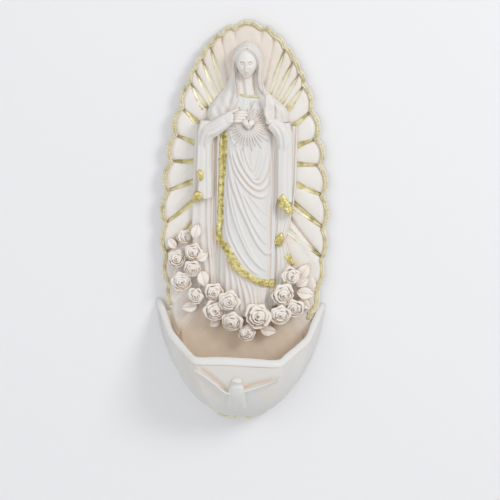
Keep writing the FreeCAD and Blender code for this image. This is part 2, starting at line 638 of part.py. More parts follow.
def swag(name, left, middle, right, radius):
    """A hanging fold: a round bar bent through three places on the dress's front."""
    level = value(f"{dress_front} - 0.5")
    points = [FreeCAD.Vector(value(across), -level, value(up)) for across, up in (left, middle, right)]
    path = Part.Wire([Part.Arc(*points).toShape()])
    start = path.Edges[0]
    circle = Part.Circle(points[0], start.tangentAt(start.FirstParameter), value(radius))
    fold = doc.addObject("Part::Feature", name)
    fold.Shape = path.makePipeShell([Part.Wire([circle.toShape()])], True, False)
    return fold


# Each swag: three places, as shares of the waist's half width and of the rise from waist to breast.
SWAGS = [((-0.81, 0.72), (0.22, -0.10), (0.92, 0.17)), ((-0.60, 0.83), (0.30, 0.04), (0.92, 0.33)),
         ((-0.34, 0.75), (0.35, 0.21), (0.92, 0.50)), ((-0.90, 0.46), (0.17, -0.33), (0.92, -0.08))]
swags = []
for number, spots in enumerate(SWAGS):
    rules = [(f"Sizes.dress_middle + Sizes.waist_half * ({a})",
              f"Sizes.dress_waist_z + (Sizes.dress_chest_z - Sizes.dress_waist_z) * ({b})")
             for a, b in spots]
    swags.append(swag(f"swag_{number}", *rules, "Sizes.fold_radius * 0.75"))
DIAGONALS = [(-0.5, 0.75, 0.1, -22), (-0.35, 0.55, 0.38, -20), (-0.1, 0.2, 0.55, -12), (-0.62, 0.4, -0.3, -8)]
diagonals = []
for number, (top_across, top_up, foot_across, foot_up) in enumerate(DIAGONALS):
    diagonals.append(rod(
        f"diagonal_{number}",
        (f"Sizes.dress_middle + Sizes.hem_half * {foot_across}", f"{dress_front} - 0.5",
         f"Sizes.dress_knee_z + {foot_up + 20}"),
        (f"Sizes.dress_middle + Sizes.waist_half * {top_across}", f"{dress_front} - 0.5",
         f"Sizes.dress_waist_z + (Sizes.dress_chest_z - Sizes.dress_waist_z) * {top_up}"),
        "Sizes.fold_radius * 0.9", "Sizes.fold_radius * 0.6"))
dress_blank = fuse("dress_blank", [dress_flat] + swags + diagonals)
overdress = keep(cut("dress", dress_blank, [tunic]), "overdress")


def strip(line, width):
    """The outline of a band along a line of places, square to the line at each of them."""
    places = [FreeCAD.Vector(value(a), 0, value(b)) for a, b in line]
    sides = []
    for index in range(len(places)):
        way = places[min(index + 1, len(places) - 1)] - places[max(index - 1, 0)]
        way.normalize()
        sides.append((way.z * width / 2, -way.x * width / 2))
    one = [(f"{a} + {x}", f"{b} + {z}") for (a, b), (x, z) in zip(line, sides)]
    other = [(f"{a} - ({x})", f"{b} - ({z})") for (a, b), (x, z) in zip(line, sides)]
    return other + one[::-1]


band_layer = robe_loft("band_layer", "(Sizes.dress_thick + Sizes.band_rise)")
band_blank = common("band_blank", band_layer,
                    pad("band_pattern", strip(HEM_LINE, value("Sizes.band_width")), FRONT,
                        "Sizes.robe_rise * 2"))
gold_band = keep(cut("band", band_blank, [overdress, tunic]), "gold_hem_band")

# ---------------------------------------------------------------- mantle and sleeves


def mantle_side(name, outer, inner, folds):
    """A hanging side of the mantle: a flat backing with upright round folds on it."""
    corners = [(outer, "Sizes.mantle_foot_z"), (inner, "Sizes.mantle_foot_z"),
               (inner, "Sizes.mantle_top_z"), (outer, "Sizes.mantle_top_z - 1")]
    if value(outer) > value(inner):
        corners = [corners[1], corners[0], corners[3], corners[2]]
    backing = pad(name + "_backing", corners, FRONT, "Sizes.mantle_rise", "Sizes.mantle_rise * 0.35")
    level = f"({FRONT} + Sizes.mantle_rise - 0.3)"
    ridges = [rod(f"{name}_fold_{number}",
                  (f"{outer} + (({inner}) - ({outer})) * {foot}", level, "Sizes.mantle_foot_z + 1"),
                  (f"{outer} + (({inner}) - ({outer})) * {top}", level, "Sizes.mantle_top_z - 3"),
                  f"Sizes.mantle_fold * {wide}", f"Sizes.mantle_fold * {narrow}")
              for number, (foot, top, wide, narrow) in enumerate(folds)]
    return fuse(name + "_whole", [backing] + ridges)


mantle_left_blank = mantle_side("mantle_left_side", "-Sizes.mantle_half", "-Sizes.mantle_inner_left",
                                [(0.15, 0.15, 1.0, 0.8), (0.45, 0.42, 1.1, 0.9), (0.8, 0.78, 1.05, 0.9)])
mantle_left = keep(cut("mantle_left_cut", mantle_left_blank, [tunic, overdress, gold_band]), "mantle_left")
mantle_right_blank = mantle_side("mantle_right_side", "Sizes.mantle_half - 2", "Sizes.mantle_inner_right",
                                 [(0.18, 0.12, 0.9, 0.8), (0.5, 0.45, 1.0, 0.9), (0.85, 0.8, 0.95, 1.0)])
mantle_right = keep(cut("mantle_right_cut", mantle_right_blank, [tunic, overdress, gold_band]),
                    "mantle_right")

figure = [tunic, overdress, gold_band, mantle_left, mantle_right]


def sleeve(label, outer, inner, foot):
    corners = [(outer, foot), (inner, f"{foot} - 1"), (inner, "Sizes.mantle_top_z"),
               (f"({outer}) * 0.6 + ({inner}) * 0.4", "Sizes.mantle_top_z + 3"),
               (outer, "Sizes.mantle_top_z + 1")]
    if value(outer) > value(inner):
        corners = corners[::-1]
    blank = pad(label + "_blank", corners, f"{FRONT} + Sizes.mantle_rise - 1",
                "Sizes.sleeve_rise - Sizes.mantle_rise + 1", "1.2")
    return keep(cut(label + "_cut", blank, figure), label)


sleeve_left = sleeve("sleeve_left", "-Sizes.mantle_half + 3", "-Sizes.mantle_half + 3 + Sizes.sleeve_width",
                     "Sizes.sleeve_foot_z")
sleeve_right = sleeve("sleeve_right", "Sizes.mantle_half - 3.4",
                      "Sizes.mantle_half - 3.4 - Sizes.sleeve_width", "Sizes.sleeve_foot_z + 2")
figure += [sleeve_left, sleeve_right]

# ---------------------------------------------------------------- arms, hands and heart

hand_depth = f"({FRONT} + Sizes.hand_rise)"
arm_left_blank = rod("arm_left", ("-Sizes.mantle_half + 6.5", f"{hand_depth} - 3.5", "Sizes.mantle_top_z + 3"),
                     ("-9", hand_depth, "Sizes.mantle_top_z + 4.6"),
                     "Sizes.forearm_radius", "Sizes.forearm_radius * 0.72")
arm_right_blank = rod("arm_right", ("Sizes.mantle_half - 7.5", f"{hand_depth} - 4", "Sizes.mantle_top_z"),
                      ("12.4", f"{hand_depth} - 0.5", "Sizes.mantle_top_z + 4.5"),
                      "Sizes.forearm_radius", "Sizes.forearm_radius * 0.75")
forearm_left = keep(cut("arm_left_cut", arm_left_blank, figure), "forearm_left")
forearm_right = keep(cut("arm_right_cut", arm_right_blank, figure), "forearm_right")
figure += [forearm_left, forearm_right]


def hand(label, palm, way, thumb_way):
    """A palm with four fingers side by side and a thumb. The ways are unit steps across and up."""
    across, up = palm
    blank = [ball(label + "_palm", (across, hand_depth, up), "2.4", "1.5", "2.4")]
    for number in range(4):
        step = (number - 1.5) * 1.18
        start = (f"({across}) - {way[1]} * {step}", f"{hand_depth} + 0.2", f"({up}) + {way[0]} * {step}")
        reach = f"Sizes.finger_length * {1 - 0.07 * abs(number - 1.3):.3f}"
        end = (f"{start[0]} + {way[0]} * {reach}", f"{hand_depth} + 0.3", f"{start[2]} + {way[1]} * {reach}")
        blank.append(rod(f"{label}_finger_{number}", start, end, "Sizes.finger_radius",
                         "Sizes.finger_radius * 0.75"))
    thumb = (f"({across}) + {thumb_way[0]} * Sizes.finger_length * 0.8", f"{hand_depth} + 0.4",
             f"({up}) + {thumb_way[1]} * Sizes.finger_length * 0.8")
    blank.append(rod(label + "_thumb", (across, f"{hand_depth} + 0.3", up), thumb,
                     "Sizes.finger_radius * 1.2", "Sizes.finger_radius * 0.9"))
    return keep(cut(label + "_cut", fuse(label + "_blank", blank), figure), label)


hand_left = hand("hand_left", ("-6.8", "Sizes.mantle_top_z + 4.6"), (0.97, 0.24), (0.5, 0.86))
hand_right = hand("hand_right", ("11", "Sizes.mantle_top_z + 6.6"), (-0.2, 0.98), (-0.8, 0.3))
figure += [hand_left, hand_right]

heart_corners = [("Sizes.heart_x", "Sizes.heart_z - Sizes.heart_half"),
                 ("Sizes.heart_x + Sizes.heart_half * 0.9", "Sizes.heart_z + Sizes.heart_half * 0.05"),
                 ("Sizes.heart_x + Sizes.heart_half", "Sizes.heart_z + Sizes.heart_half * 0.5"),
                 ("Sizes.heart_x + Sizes.heart_half * 0.55", "Sizes.heart_z + Sizes.heart_half * 0.85"),
                 ("Sizes.heart_x", "Sizes.heart_z + Sizes.heart_half * 0.6")]
heart_corners += [(f"2 * Sizes.heart_x - ({a})", b) for a, b in heart_corners[3:0:-1]]
heart_blank = pad("heart_blank", heart_corners, robe_front, "Sizes.dress_thick + Sizes.heart_rise",
                  "Sizes.heart_rise * 0.25")
heart = keep(cut("heart_cut", heart_blank, figure), "heart")
flame_base = (f"{dress_front} + 1", "Sizes.heart_z + Sizes.heart_half * 0.5")
flame_tongues = [rod(f"flame_{number}", (f"Sizes.heart_x + {0.5 * lean}", *flame_base),
                     (f"Sizes.heart_x + {lean}", f"{dress_front} + 0.6", f"{flame_base[1]} + {tall}"),
                     "0.9", "0.25") for number, (lean, tall) in enumerate(((-1.2, 3.2), (0.2, 4.6), (1.5, 3.6)))]
flame = keep(cut("flame_cut", fuse("flame_blank", flame_tongues), figure + [heart]), "heart_flame")
RAYS_ROUND_HEART = 24


def heart_ray(turn, length):
    """One flat ray on the dress: narrow at the heart, widest halfway and pointed outside."""
    way = FreeCAD.Vector(math.sin(turn), 0, math.cos(turn))
    side = FreeCAD.Vector(way.z, 0, -way.x) * value("Sizes.heart_ray_width") / 2
    middle = FreeCAD.Vector(value("Sizes.heart_x"), -value(dress_front), value("Sizes.heart_z"))
    start = middle + way * value("Sizes.heart_half") * 1.2
    widest, tip = start + way * length * 0.55, start + way * length
    corners = [start - side * 0.5, widest - side, tip - side * 0.3,
               tip + side * 0.3, widest + side, start + side * 0.5]
    face = Part.Face(Part.makePolygon(corners + corners[:1]))
    return face.extrude(FreeCAD.Vector(0, -value("Sizes.heart_ray_rise"), 0))


ray_shapes = [heart_ray(2 * math.pi * (number + 0.5) / RAYS_ROUND_HEART,
                        value("Sizes.heart_ray_length") * (1 + 0.18 * (number % 2)))
              for number in range(RAYS_ROUND_HEART)]
ray_ring = doc.addObject("Part::Feature", "heart_ray_ring")
ray_ring.Shape = Part.makeCompound(ray_shapes)
heart_rays = keep(cut("heart_rays_cut", ray_ring, figure + [heart, flame]), "heart_rays")

# ---------------------------------------------------------------- head, hair, neck and veil

hair_rules = [f"(Sizes.{name} + Sizes.hair_thick)" for name in ("head_half_width", "head_half_height")]
hair_depth = "(Sizes.head_half_depth - 0.3)"
head_ball = ball("head_ball", ("0", f"{FRONT} + {hair_depth} + 1.1", "Sizes.head_z"),
                 "Sizes.head_half_width", "Sizes.head_half_depth", "Sizes.head_half_height")
hair_ball = ball("hair_ball", ("0", f"{FRONT} + {hair_depth}", "Sizes.head_z + 0.4"),
                 hair_rules[0], hair_depth, hair_rules[1])
neck_blank = rod("neck_blank", ("0.4", f"{FRONT} + 2.2", "Sizes.dress_collar_z - 3"),
                 ("0", f"{FRONT} + 5", "Sizes.head_z - 2"), "Sizes.neck_radius * 1.15",
                 "Sizes.neck_radius * 0.9")
head = keep(head_ball, "head")
neck = keep(cut("neck_cut", neck_blank, [back_plate, head, tunic, overdress]), "neck")

veil_outer = [("Sizes.veil_shoulder_half + 1", "Sizes.veil_shoulder_z - 4.6"),
              ("Sizes.veil_shoulder_half", "Sizes.veil_shoulder_z"),
              ("Sizes.veil_half * 1.9", "Sizes.veil_shoulder_z + 6"),
              ("Sizes.veil_half * 1.42", "Sizes.veil_shoulder_z + 11.5"),
              ("Sizes.veil_half * 1.12", "Sizes.head_z - 6"),
              ("Sizes.veil_half", "Sizes.head_z + 1"),
              ("Sizes.veil_half * 0.82", "Sizes.veil_top_z - 4.2"),
              ("Sizes.veil_half * 0.45", "Sizes.veil_top_z - 0.9")]
veil_inner = [("Sizes.veil_half * 0.3", "Sizes.veil_top_z - 3.2"),
              ("Sizes.veil_half * 0.62", "Sizes.head_z + Sizes.head_half_height * 0.62"),
              ("Sizes.veil_half * 0.74", "Sizes.head_z"),
              ("Sizes.veil_half * 0.74", "Sizes.dress_collar_z + 1"),
              ("Sizes.veil_half * 1.15", "Sizes.veil_shoulder_z - 1")]
veil_corners = veil_outer + [("0", "Sizes.veil_top_z")] + mirrored(veil_outer)
veil_corners += [(f"-({a})", b) for a, b in veil_inner[::-1]]
veil_corners += [("0", "Sizes.veil_top_z - 2.4")] + veil_inner
veil_border = pad("veil_border", veil_corners[::-1], FRONT, "Sizes.veil_rise")
veil_back = pad("veil_back", (veil_outer + [("0", "Sizes.veil_top_z")] + mirrored(veil_outer))[::-1],
                FRONT, "Sizes.veil_back")
veil_blank = fuse("veil_blank", [veil_border, veil_back])
veil_neighbours = [head, neck, tunic, overdress, forearm_left, forearm_right, hand_right,
                   mantle_left, mantle_right, sleeve_left, sleeve_right]
veil = keep(cut("veil_cut", veil_blank, veil_neighbours), "veil")
hair = keep(cut("hair_cut", hair_ball, [head, neck, veil]), "hair")
trim_up = "Sizes.dress_collar_z - Sizes.trim_radius"
trim_depth = f"{FRONT} + Sizes.robe_rise * 0.62 + Sizes.dress_thick"
trim_blank = rod("trim_blank", ("-Sizes.collar_half * 0.75", trim_depth, trim_up),
                 ("Sizes.collar_half * 0.75 + Sizes.dress_middle", trim_depth, trim_up),
                 "Sizes.trim_radius", "Sizes.trim_radius")
keep(cut("trim_cut", trim_blank, [overdress, neck, tunic, veil]), "neckline_trim")

# ---------------------------------------------------------------- gilded corners of the mantle

# Each corner: its middle, half width and half height, and what it lies on.
CORNERS = [("-Sizes.mantle_half + 4", "Sizes.dress_waist_z + 1.4", 1.5, 3.2, "Sizes.sleeve_rise"),
           ("-Sizes.mantle_half + 3.2", "Sizes.dress_waist_z - 10", 2.9, 3.4, "Sizes.mantle_rise + 1"),
           ("Sizes.mantle_half - 5.6", "Sizes.dress_waist_z - 10.6", 3.0, 4.8, "Sizes.mantle_rise + 1"),
           ("Sizes.mantle_half - 8.4", "Sizes.dress_knee_z + 12.6", 2.6, 4.2, "Sizes.mantle_rise + 1"),
           ("Sizes.mantle_half - 4", "Sizes.dress_knee_z + 1.8", 2.6, 2.6, "Sizes.mantle_rise + 1")]
corner_pieces = []
for number, (across, up, half, tall, rise) in enumerate(CORNERS):
    outline = [(f"{across} + {a * half}", f"{up} + {b * tall}")
               for a, b in ((-0.4, -1), (0.7, -0.8), (1, 0.2), (0.3, 1), (-0.8, 0.7), (-1, -0.3))]
    blank = pad(f"corner_{number}_blank", outline, FRONT, f"{rise} + Sizes.band_rise")
    corner_pieces.append(cut(f"corner_{number}", blank, figure))
keep(group("corners", corner_pieces), "gold_patches")

# ---------------------------------------------------------------- roses

ROSE_PROFILE = [(0.5, -1, 0), (0.86, 0, -0.62), (1.0, 0, -0.3), (0.84, 0, -0.36), (0.74, 0, -0.08),
                (0.56, 0, -0.2), (0.45, 0, 0.02), (0.28, 0, -0.14), (0.16, 0, 0.06)]
PETALS = 5


def rose_blank(number):
    """A calyx on the panels, rings of petals turned round it, and five outer petals."""
    name = f"rose_{number:02d}"
    across, up = f"Sizes.{name}_across", f"Sizes.{name}_up"
    radius, crest = f"Sizes.{name}_radius", f"({FRONT} + Sizes.{name}_rise)"
    body = doc.addObject("PartDesign::Body", name + "_turned")
    seat = f"({FRONT} + Sizes.mantle_rise - 1)" if number in ON_MANTLE else FRONT
    corners = [("0", seat), (f"{radius} * 0.5", seat)]
    corners += [(f"{radius} * {out}", f"{crest} + {radius} * {high}")
                for out, flat, high in ROSE_PROFILE if not flat]
    corners.append(("0", f"{crest} + {radius} * 0.08"))
    corners = [(a, f"-({b})") for a, b in corners]
    profile = polygon(body, name + "_profile", "XY_Plane", "0", corners)
    turned = body.newObject("PartDesign::Revolution", name + "_revolution")
    turned.Profile = profile
    turned.ReferenceAxis = (profile, ["V_Axis"])
    turned.Angle = 360
    place(body, across, "0", up)
    petals = []
    for index in range(PETALS):
        turn = 2 * math.pi * (index + 0.37 * number) / PETALS
        petals.append(ball(f"{name}_petal_{index}",
                           (f"{across} + {math.sin(turn) * 0.72} * {radius}",
                            f"{crest} - {radius} * 0.42",
                            f"{up} + {math.cos(turn) * 0.72} * {radius}"),
                           f"{radius} * 0.36", f"{radius} * 0.2", f"{radius} * 0.36"))
    return fuse(name + "_blank", [body] + petals)


roses = []
for number in range(1, len(ROSES) + 1):
    across, up = ROSES[number - 1][:2]
    near = [rose for index, rose in enumerate(roses)
            if math.dist((across, up), ROSES[index][:2]) < ROSES[index][2] + ROSES[number - 1][2] + 2]
    label = f"rose_{number:02d}"
    neighbours = [tunic, overdress, gold_band, mantle_left, mantle_right] + near
    roses.append(keep(cut(label + "_cut", rose_blank(number), neighbours), label))

# ---------------------------------------------------------------- leaves

# Each leaf: middle across and upwards, length, direction in degrees from straight up, clockwise,
# and how far its face stands in front of the panels.
LEAVES = {
    "leaves_left": [(-22.6, -5.0, 7, 12, 7.6), (-34.4, -12.0, 6, -40, 2.6), (-19.2, -17.4, 6, 60, 7.8),
                    (-18.6, -28.2, 8, 160, 7.6), (-25.4, -42.6, 7.5, 262, 4.4)],
    "leaves_right": [(29.2, -23.6, 8.5, 36, 4.2), (28.8, -28.8, 7, 55, 3.4), (30.4, -34.2, 8.5, 97, 4.6),
                     (30.0, -39.6, 7, 128, 3.2)],
    "leaves_bottom": [(12.9, -52.9, 8, 98, 4.8), (-13.0, -50.2, 6, 235, 4.0)],
}
LEAF_OUTLINE = [(0, 0.5), (0.24, 0.2), (0.28, -0.08), (0.15, -0.38), (-0.15, -0.38), (-0.28, -0.08),
                (-0.24, 0.2)]


def leaf(name, across, up, length, direction, rise):
    turn = math.radians(direction)
    corners = []
    for side, ahead in LEAF_OUTLINE[::-1]:
        corners.append((f"{across} + {length * (side * math.cos(turn) + ahead * math.sin(turn))}",
                        f"{up} + {length * (ahead * math.cos(turn) - side * math.sin(turn))}"))
    blank = pad(name + "_blank", corners, FRONT, f"{rise} * Sizes.leaf_fullness")
    return cut(name, blank, [mantle_left, mantle_right, tunic, basin_lip] + roses)


for label, leaves in LEAVES.items():
    pieces = [leaf(f"{label}_{number}", *numbers) for number, numbers in enumerate(leaves)]
    keep(group(label + "_all", pieces), label)

# ---------------------------------------------------------------- check and write

doc.recompute()
failed = [thing.Name for thing in doc.Objects if {"Invalid", "Error"} & set(thing.State)]
if failed:
    raise SystemExit("These objects failed: " + ", ".join(failed))
for node in nodes:
    if node.Shape.isNull() or not node.Shape.isValid() or not node.Shape.Solids:
        raise SystemExit(f"{node.Label} has no valid solid")

os.makedirs("parts", exist_ok=True)
for node in nodes:
    node.Shape.exportStep(f"parts/{node.Label}.step")
    print(f"{node.Label:18s} {len(node.Shape.Solids):3d} solids {node.Shape.Volume:9.1f} mm3")
print(len(nodes), "nodes")
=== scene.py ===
# %% [markdown]
# # A holy water stoup in cast resin
# The stoup is a relief: a scalloped plate with gilded rays, a veiled figure, a garland of roses
# and a basin. The measured solids come from the frame, and this notebook dresses them. Every
# length below is written in millimetres and turned into metres when a mesh is finished. As in the
# frame, x goes to the viewer's right, z goes up, and a depth is measured from the wall outwards.

import math

import bmesh
import bpy
import numpy as np
from mathutils import Matrix, Vector


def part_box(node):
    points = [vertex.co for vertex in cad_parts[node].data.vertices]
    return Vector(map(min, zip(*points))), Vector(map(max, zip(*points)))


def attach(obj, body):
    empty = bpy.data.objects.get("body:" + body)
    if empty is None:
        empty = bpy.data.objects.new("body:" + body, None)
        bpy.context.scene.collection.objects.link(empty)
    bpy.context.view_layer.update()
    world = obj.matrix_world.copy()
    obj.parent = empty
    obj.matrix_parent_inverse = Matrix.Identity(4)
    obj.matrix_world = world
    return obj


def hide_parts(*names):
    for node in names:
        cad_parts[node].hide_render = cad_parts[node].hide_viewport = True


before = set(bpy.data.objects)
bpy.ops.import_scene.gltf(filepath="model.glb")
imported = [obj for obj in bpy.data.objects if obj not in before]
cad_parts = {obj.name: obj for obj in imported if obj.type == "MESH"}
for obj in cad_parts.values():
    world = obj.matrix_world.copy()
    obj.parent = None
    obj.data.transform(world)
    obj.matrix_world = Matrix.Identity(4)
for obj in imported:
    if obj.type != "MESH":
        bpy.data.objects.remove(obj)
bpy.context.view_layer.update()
MM = 0.001
print("nodes in the frame:", len(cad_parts))

# %% [markdown]
# Most parts of a relief are one sheet of clay pushed into folds. A grid is that sheet: it starts
# flat, a rule moves each of its points to its place, and its border is pushed back to the plate.
# The rules work on whole arrays of points, because a face or a fold needs tens of thousands.

# %% Sheets of clay


def box_mm(node):
    """A node's box as (left, right, near, far, bottom, top), with near and far as depths."""
    low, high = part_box(node)
    return (low.x / MM, high.x / MM, -high.y / MM, -low.y / MM, low.z / MM, high.z / MM)


CLOSE = 0.00001     # points nearer than this, in metres, are one point


def set_points(bm, across, depth, up):
    for vertex, x, d, z in zip(bm.verts, across, depth, up):
        vertex.co = (x * MM, -d * MM, z * MM)


def mould(columns, rows, rule):
    """A sheet from 0 to 1 both ways, moved by a rule from (u, v) to across, depth and up."""
    bm = bmesh.new()
    bmesh.ops.create_grid(bm, x_segments=columns, y_segments=rows, size=0.5)
    bmesh.ops.translate(bm, vec=(0.5, 0.5, 0), verts=bm.verts)
    spots = np.array([vertex.co[:2] for vertex in bm.verts])
    set_points(bm, *rule(spots[:, 0], spots[:, 1]))
    return bm


def merge(bm):
    bmesh.ops.remove_doubles(bm, verts=bm.verts, dist=CLOSE)
    return bm


def rim(bm):
    return [edge for edge in bm.edges if edge.is_boundary]


def carry(bm, edges, move):
    """Draw edges out, with a rule for the new points' y, and give the new border."""
    drawn = bmesh.ops.extrude_edge_only(bm, edges=edges)["geom"]
    for item in drawn:
        if isinstance(item, bmesh.types.BMVert):
            item.co.y = move(item.co.y)
    return [item for item in drawn if isinstance(item, bmesh.types.BMEdge) and item.is_boundary]


def close_back(bm, move):
    """Carry the border of a sheet back and close it there, so it is a solid."""
    bmesh.ops.edgeloop_fill(bm, edges=carry(bm, rim(bm), move))
    return bm


def slab(columns, rows, rule, depth, merged=False):
    """A moulded sheet made solid, with its border pushed back to a depth."""
    bm = mould(columns, rows, rule)
    if merged:
        merge(bm)
    return close_back(bm, lambda y: -depth * MM)


def as_mesh(bm, name):
    mesh = bpy.data.meshes.new(name)
    bm.to_mesh(mesh)
    bm.free()
    return mesh


def add_object(name, data):
    made = bpy.data.objects.new(name, data)
    bpy.context.scene.collection.objects.link(made)
    return made


def smooth_step(low, high, amount):
    share = np.clip((amount - low) / (high - low), 0, 1)
    return share * share * (3 - 2 * share)


def mix(one, other, share):
    return one + (other - one) * share


def dome(share, power):
    """A rounded section: 1 in the middle, 0 at a share of 1 either way."""
    return np.sqrt(np.clip(1 - np.abs(share) ** power, 0, 1))


def bell(distance, width):
    return np.exp(-(distance / width) ** 2)


# %% [markdown]
# A fold of cloth is a line on the sheet with a rounded crest over it. So a fold needs one thing:
# how far each point lies from a line, and how far along that line it is. With those two numbers a
# ridge can swell in its middle and run out flat at its ends.

# %% Folds


def curve(points, steps=12):
    """A smooth line through a few places, as many short straight runs."""
    points = np.array(points, float)
    ends = np.vstack([2 * points[0] - points[1], points, 2 * points[-1] - points[-2]])
    line = []
    for a, b, c, d in zip(ends, ends[1:], ends[2:], ends[3:]):
        for step in np.arange(steps) / steps:
            line.append(0.5 * (2 * b + (c - a) * step + (2 * a - 5 * b + 4 * c - d) * step ** 2
                               + (3 * b - a - 3 * c + d) * step ** 3))
    line.append(points[-1])
    return np.array(line)


def point_on(line, share):
    """The place at a share of the way along a line, counted in its runs."""
    place = share * (len(line) - 1)
    return (np.interp(place, range(len(line)), line[:, axis]) for axis in (0, 1))


def between(one, other, along, across):
    """The place between two lines, at shares of the way along them and across."""
    (x0, z0), (x1, z1) = point_on(one, along), point_on(other, along)
    return mix(x0, x1, across), mix(z0, z1, across)


def spine_of(places, steps):
    """A rule for the place on a line and its direction there, at a share of the way along it."""
    line = curve(places, steps)
    slope = np.gradient(line, axis=0)
    slope /= np.hypot(*slope.T)[:, None]
    shares = np.linspace(0, 1, len(line))
    return lambda u: [np.interp(u, shares, row[:, axis]) for row in (line, slope) for axis in (0, 1)]


def nearest(x, z, line):
    """The distance to a line of places, which side of it, and the share of the way along it."""
    best = np.full(x.shape, 1e9)
    side = np.zeros(x.shape)
    along = np.zeros(x.shape)
    runs = np.hypot(*(line[1:] - line[:-1]).T)
    total = runs.sum()
    before = 0.0
    for (ax, az), (bx, bz), run in zip(line, line[1:], runs):
        if run < 1e-9:
            continue
        share = np.clip(((x - ax) * (bx - ax) + (z - az) * (bz - az)) / run ** 2, 0, 1)
        away = np.hypot(x - ax - (bx - ax) * share, z - az - (bz - az) * share)
        closer = away < best
        best = np.where(closer, away, best)
        side = np.where(closer, np.sign((bx - ax) * (z - az) - (bz - az) * (x - ax)), side)
        along = np.where(closer, (before + share * run) / total, along)
        before += run
    return best, side, along


RUN_OUT = 0.12      # share of a fold's length over which each of its ends runs out


def fold(x, z, points, width, height, lean):
    """A ridge along a line. Lean makes one flank steep and the other long, as heavy cloth hangs."""
    away, side, along = nearest(x, z, curve(points))
    crest = np.exp(-(away / (width * (1 + lean * side))) ** 2 * 1.4)
    return height * crest * (smooth_step(0, RUN_OUT, along) * smooth_step(0, RUN_OUT, 1 - along))


# %% [markdown]
# Cast resin is dipped in a brown wash and wiped, so the wash stays in the hollows. Each finished
# mesh therefore carries a number per point, named wash: how much its surface is hollow there. It
# is measured by smoothing a copy of the mesh. Where the smooth copy lies outside the surface, the
# surface is a hollow; where it lies inside, the surface is a crest.

# %% Finishing a mesh


def hollowness(mesh, places, normals, rounds, size):
    """How hollow the surface is at each point, from 0 on crests to 1 in hollows."""
    count = len(places)
    edges = np.empty(len(mesh.edges) * 2, dtype=int)
    mesh.edges.foreach_get("vertices", edges)
    one, other = edges.reshape(-1, 2).T
    links = np.bincount(one, minlength=count) + np.bincount(other, minlength=count)
    links = np.maximum(links, 1)[:, None]
    soft = places
    for _ in range(rounds):
        total = np.zeros_like(soft)
        for axis in range(3):
            total[:, axis] += np.bincount(one, soft[other, axis], minlength=count)
            total[:, axis] += np.bincount(other, soft[one, axis], minlength=count)
        soft = total / links
    hollow = ((soft - places) * normals).sum(axis=1) / (size * MM)
    return np.clip(0.5 + 0.5 * hollow, 0, 1)


def write(mesh, name, amount):
    mesh.attributes.new(name, "FLOAT", "POINT").data.foreach_set("value", amount)


def finish(bm, name, material, nodes, rounds, size, thick=None):
    """Turn a bmesh into a piece of the stoup that rides on the root and stands for its nodes.

    Rounds and size say how wide and how deep a hollow takes the wash, and thick is a rule for
    the places that take a second colour whatever their shape: on resin it is pooled wash with
    painted shade, on gold paint it is the cream showing through.
    """
    bmesh.ops.recalc_face_normals(bm, faces=bm.faces)
    mesh = as_mesh(bm, name)
    mesh.shade_smooth()
    places = np.empty(len(mesh.vertices) * 3)
    mesh.vertices.foreach_get("co", places)
    places = places.reshape(-1, 3)
    normals = np.array([vertex.normal[:] for vertex in mesh.vertices])
    write(mesh, "wash", hollowness(mesh, places, normals, rounds, size))
    x, y, z = places.T / MM
    write(mesh, "pooled_wash_shade_and_bare_gold", thick(x, -y, z, normals.T) if thick else np.zeros(len(places)))
    mesh.materials.append(material)
    piece = add_object(name, mesh)
    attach(piece, "root")
    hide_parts(*nodes)
    print(f"{name}: {len(mesh.polygons)} faces")


# %% [markdown]
# The resin is matt and slightly soft to the light. Three things colour it: the wash measured on
# the mesh, a broad cloudiness where the cloth wiped more or less, and painted shade with the wash in
# the corners where two pieces meet, which a distance-limited ambient occlusion finds. A very fine
# grain in the bump keeps the highlights from looking like plastic.

# %% Resin


def feed(tree, made, values):
    """Fill a node's inputs: another node's output is linked, anything else is written."""
    for name, value in values.items():
        if isinstance(value, bpy.types.NodeSocket):
            tree.links.new(value, made.inputs[name])
        else:
            made.inputs[name].default_value = value


def node(tree, kind, output, values=None, **settings):
    """Make a shader node and give one of its outputs."""
    made = tree.nodes.new("ShaderNode" + kind)
    for name, setting in settings.items():
        setattr(made, name, setting)
    feed(tree, made, values or {})
    return made.outputs[output]


def paint(name, values):
    """A new material, its tree and its shader."""
    material = bpy.data.materials.new(name)
    material.use_nodes = True
    shader = material.node_tree.nodes["Principled BSDF"]
    feed(material.node_tree, shader, values)
    return material, material.node_tree, shader


# Colour of pooled wash with painted shade, laid where a piece's second mask asks for it.
POOLED_WASH_AND_SHADE = (0.765, 0.65, 0.525)


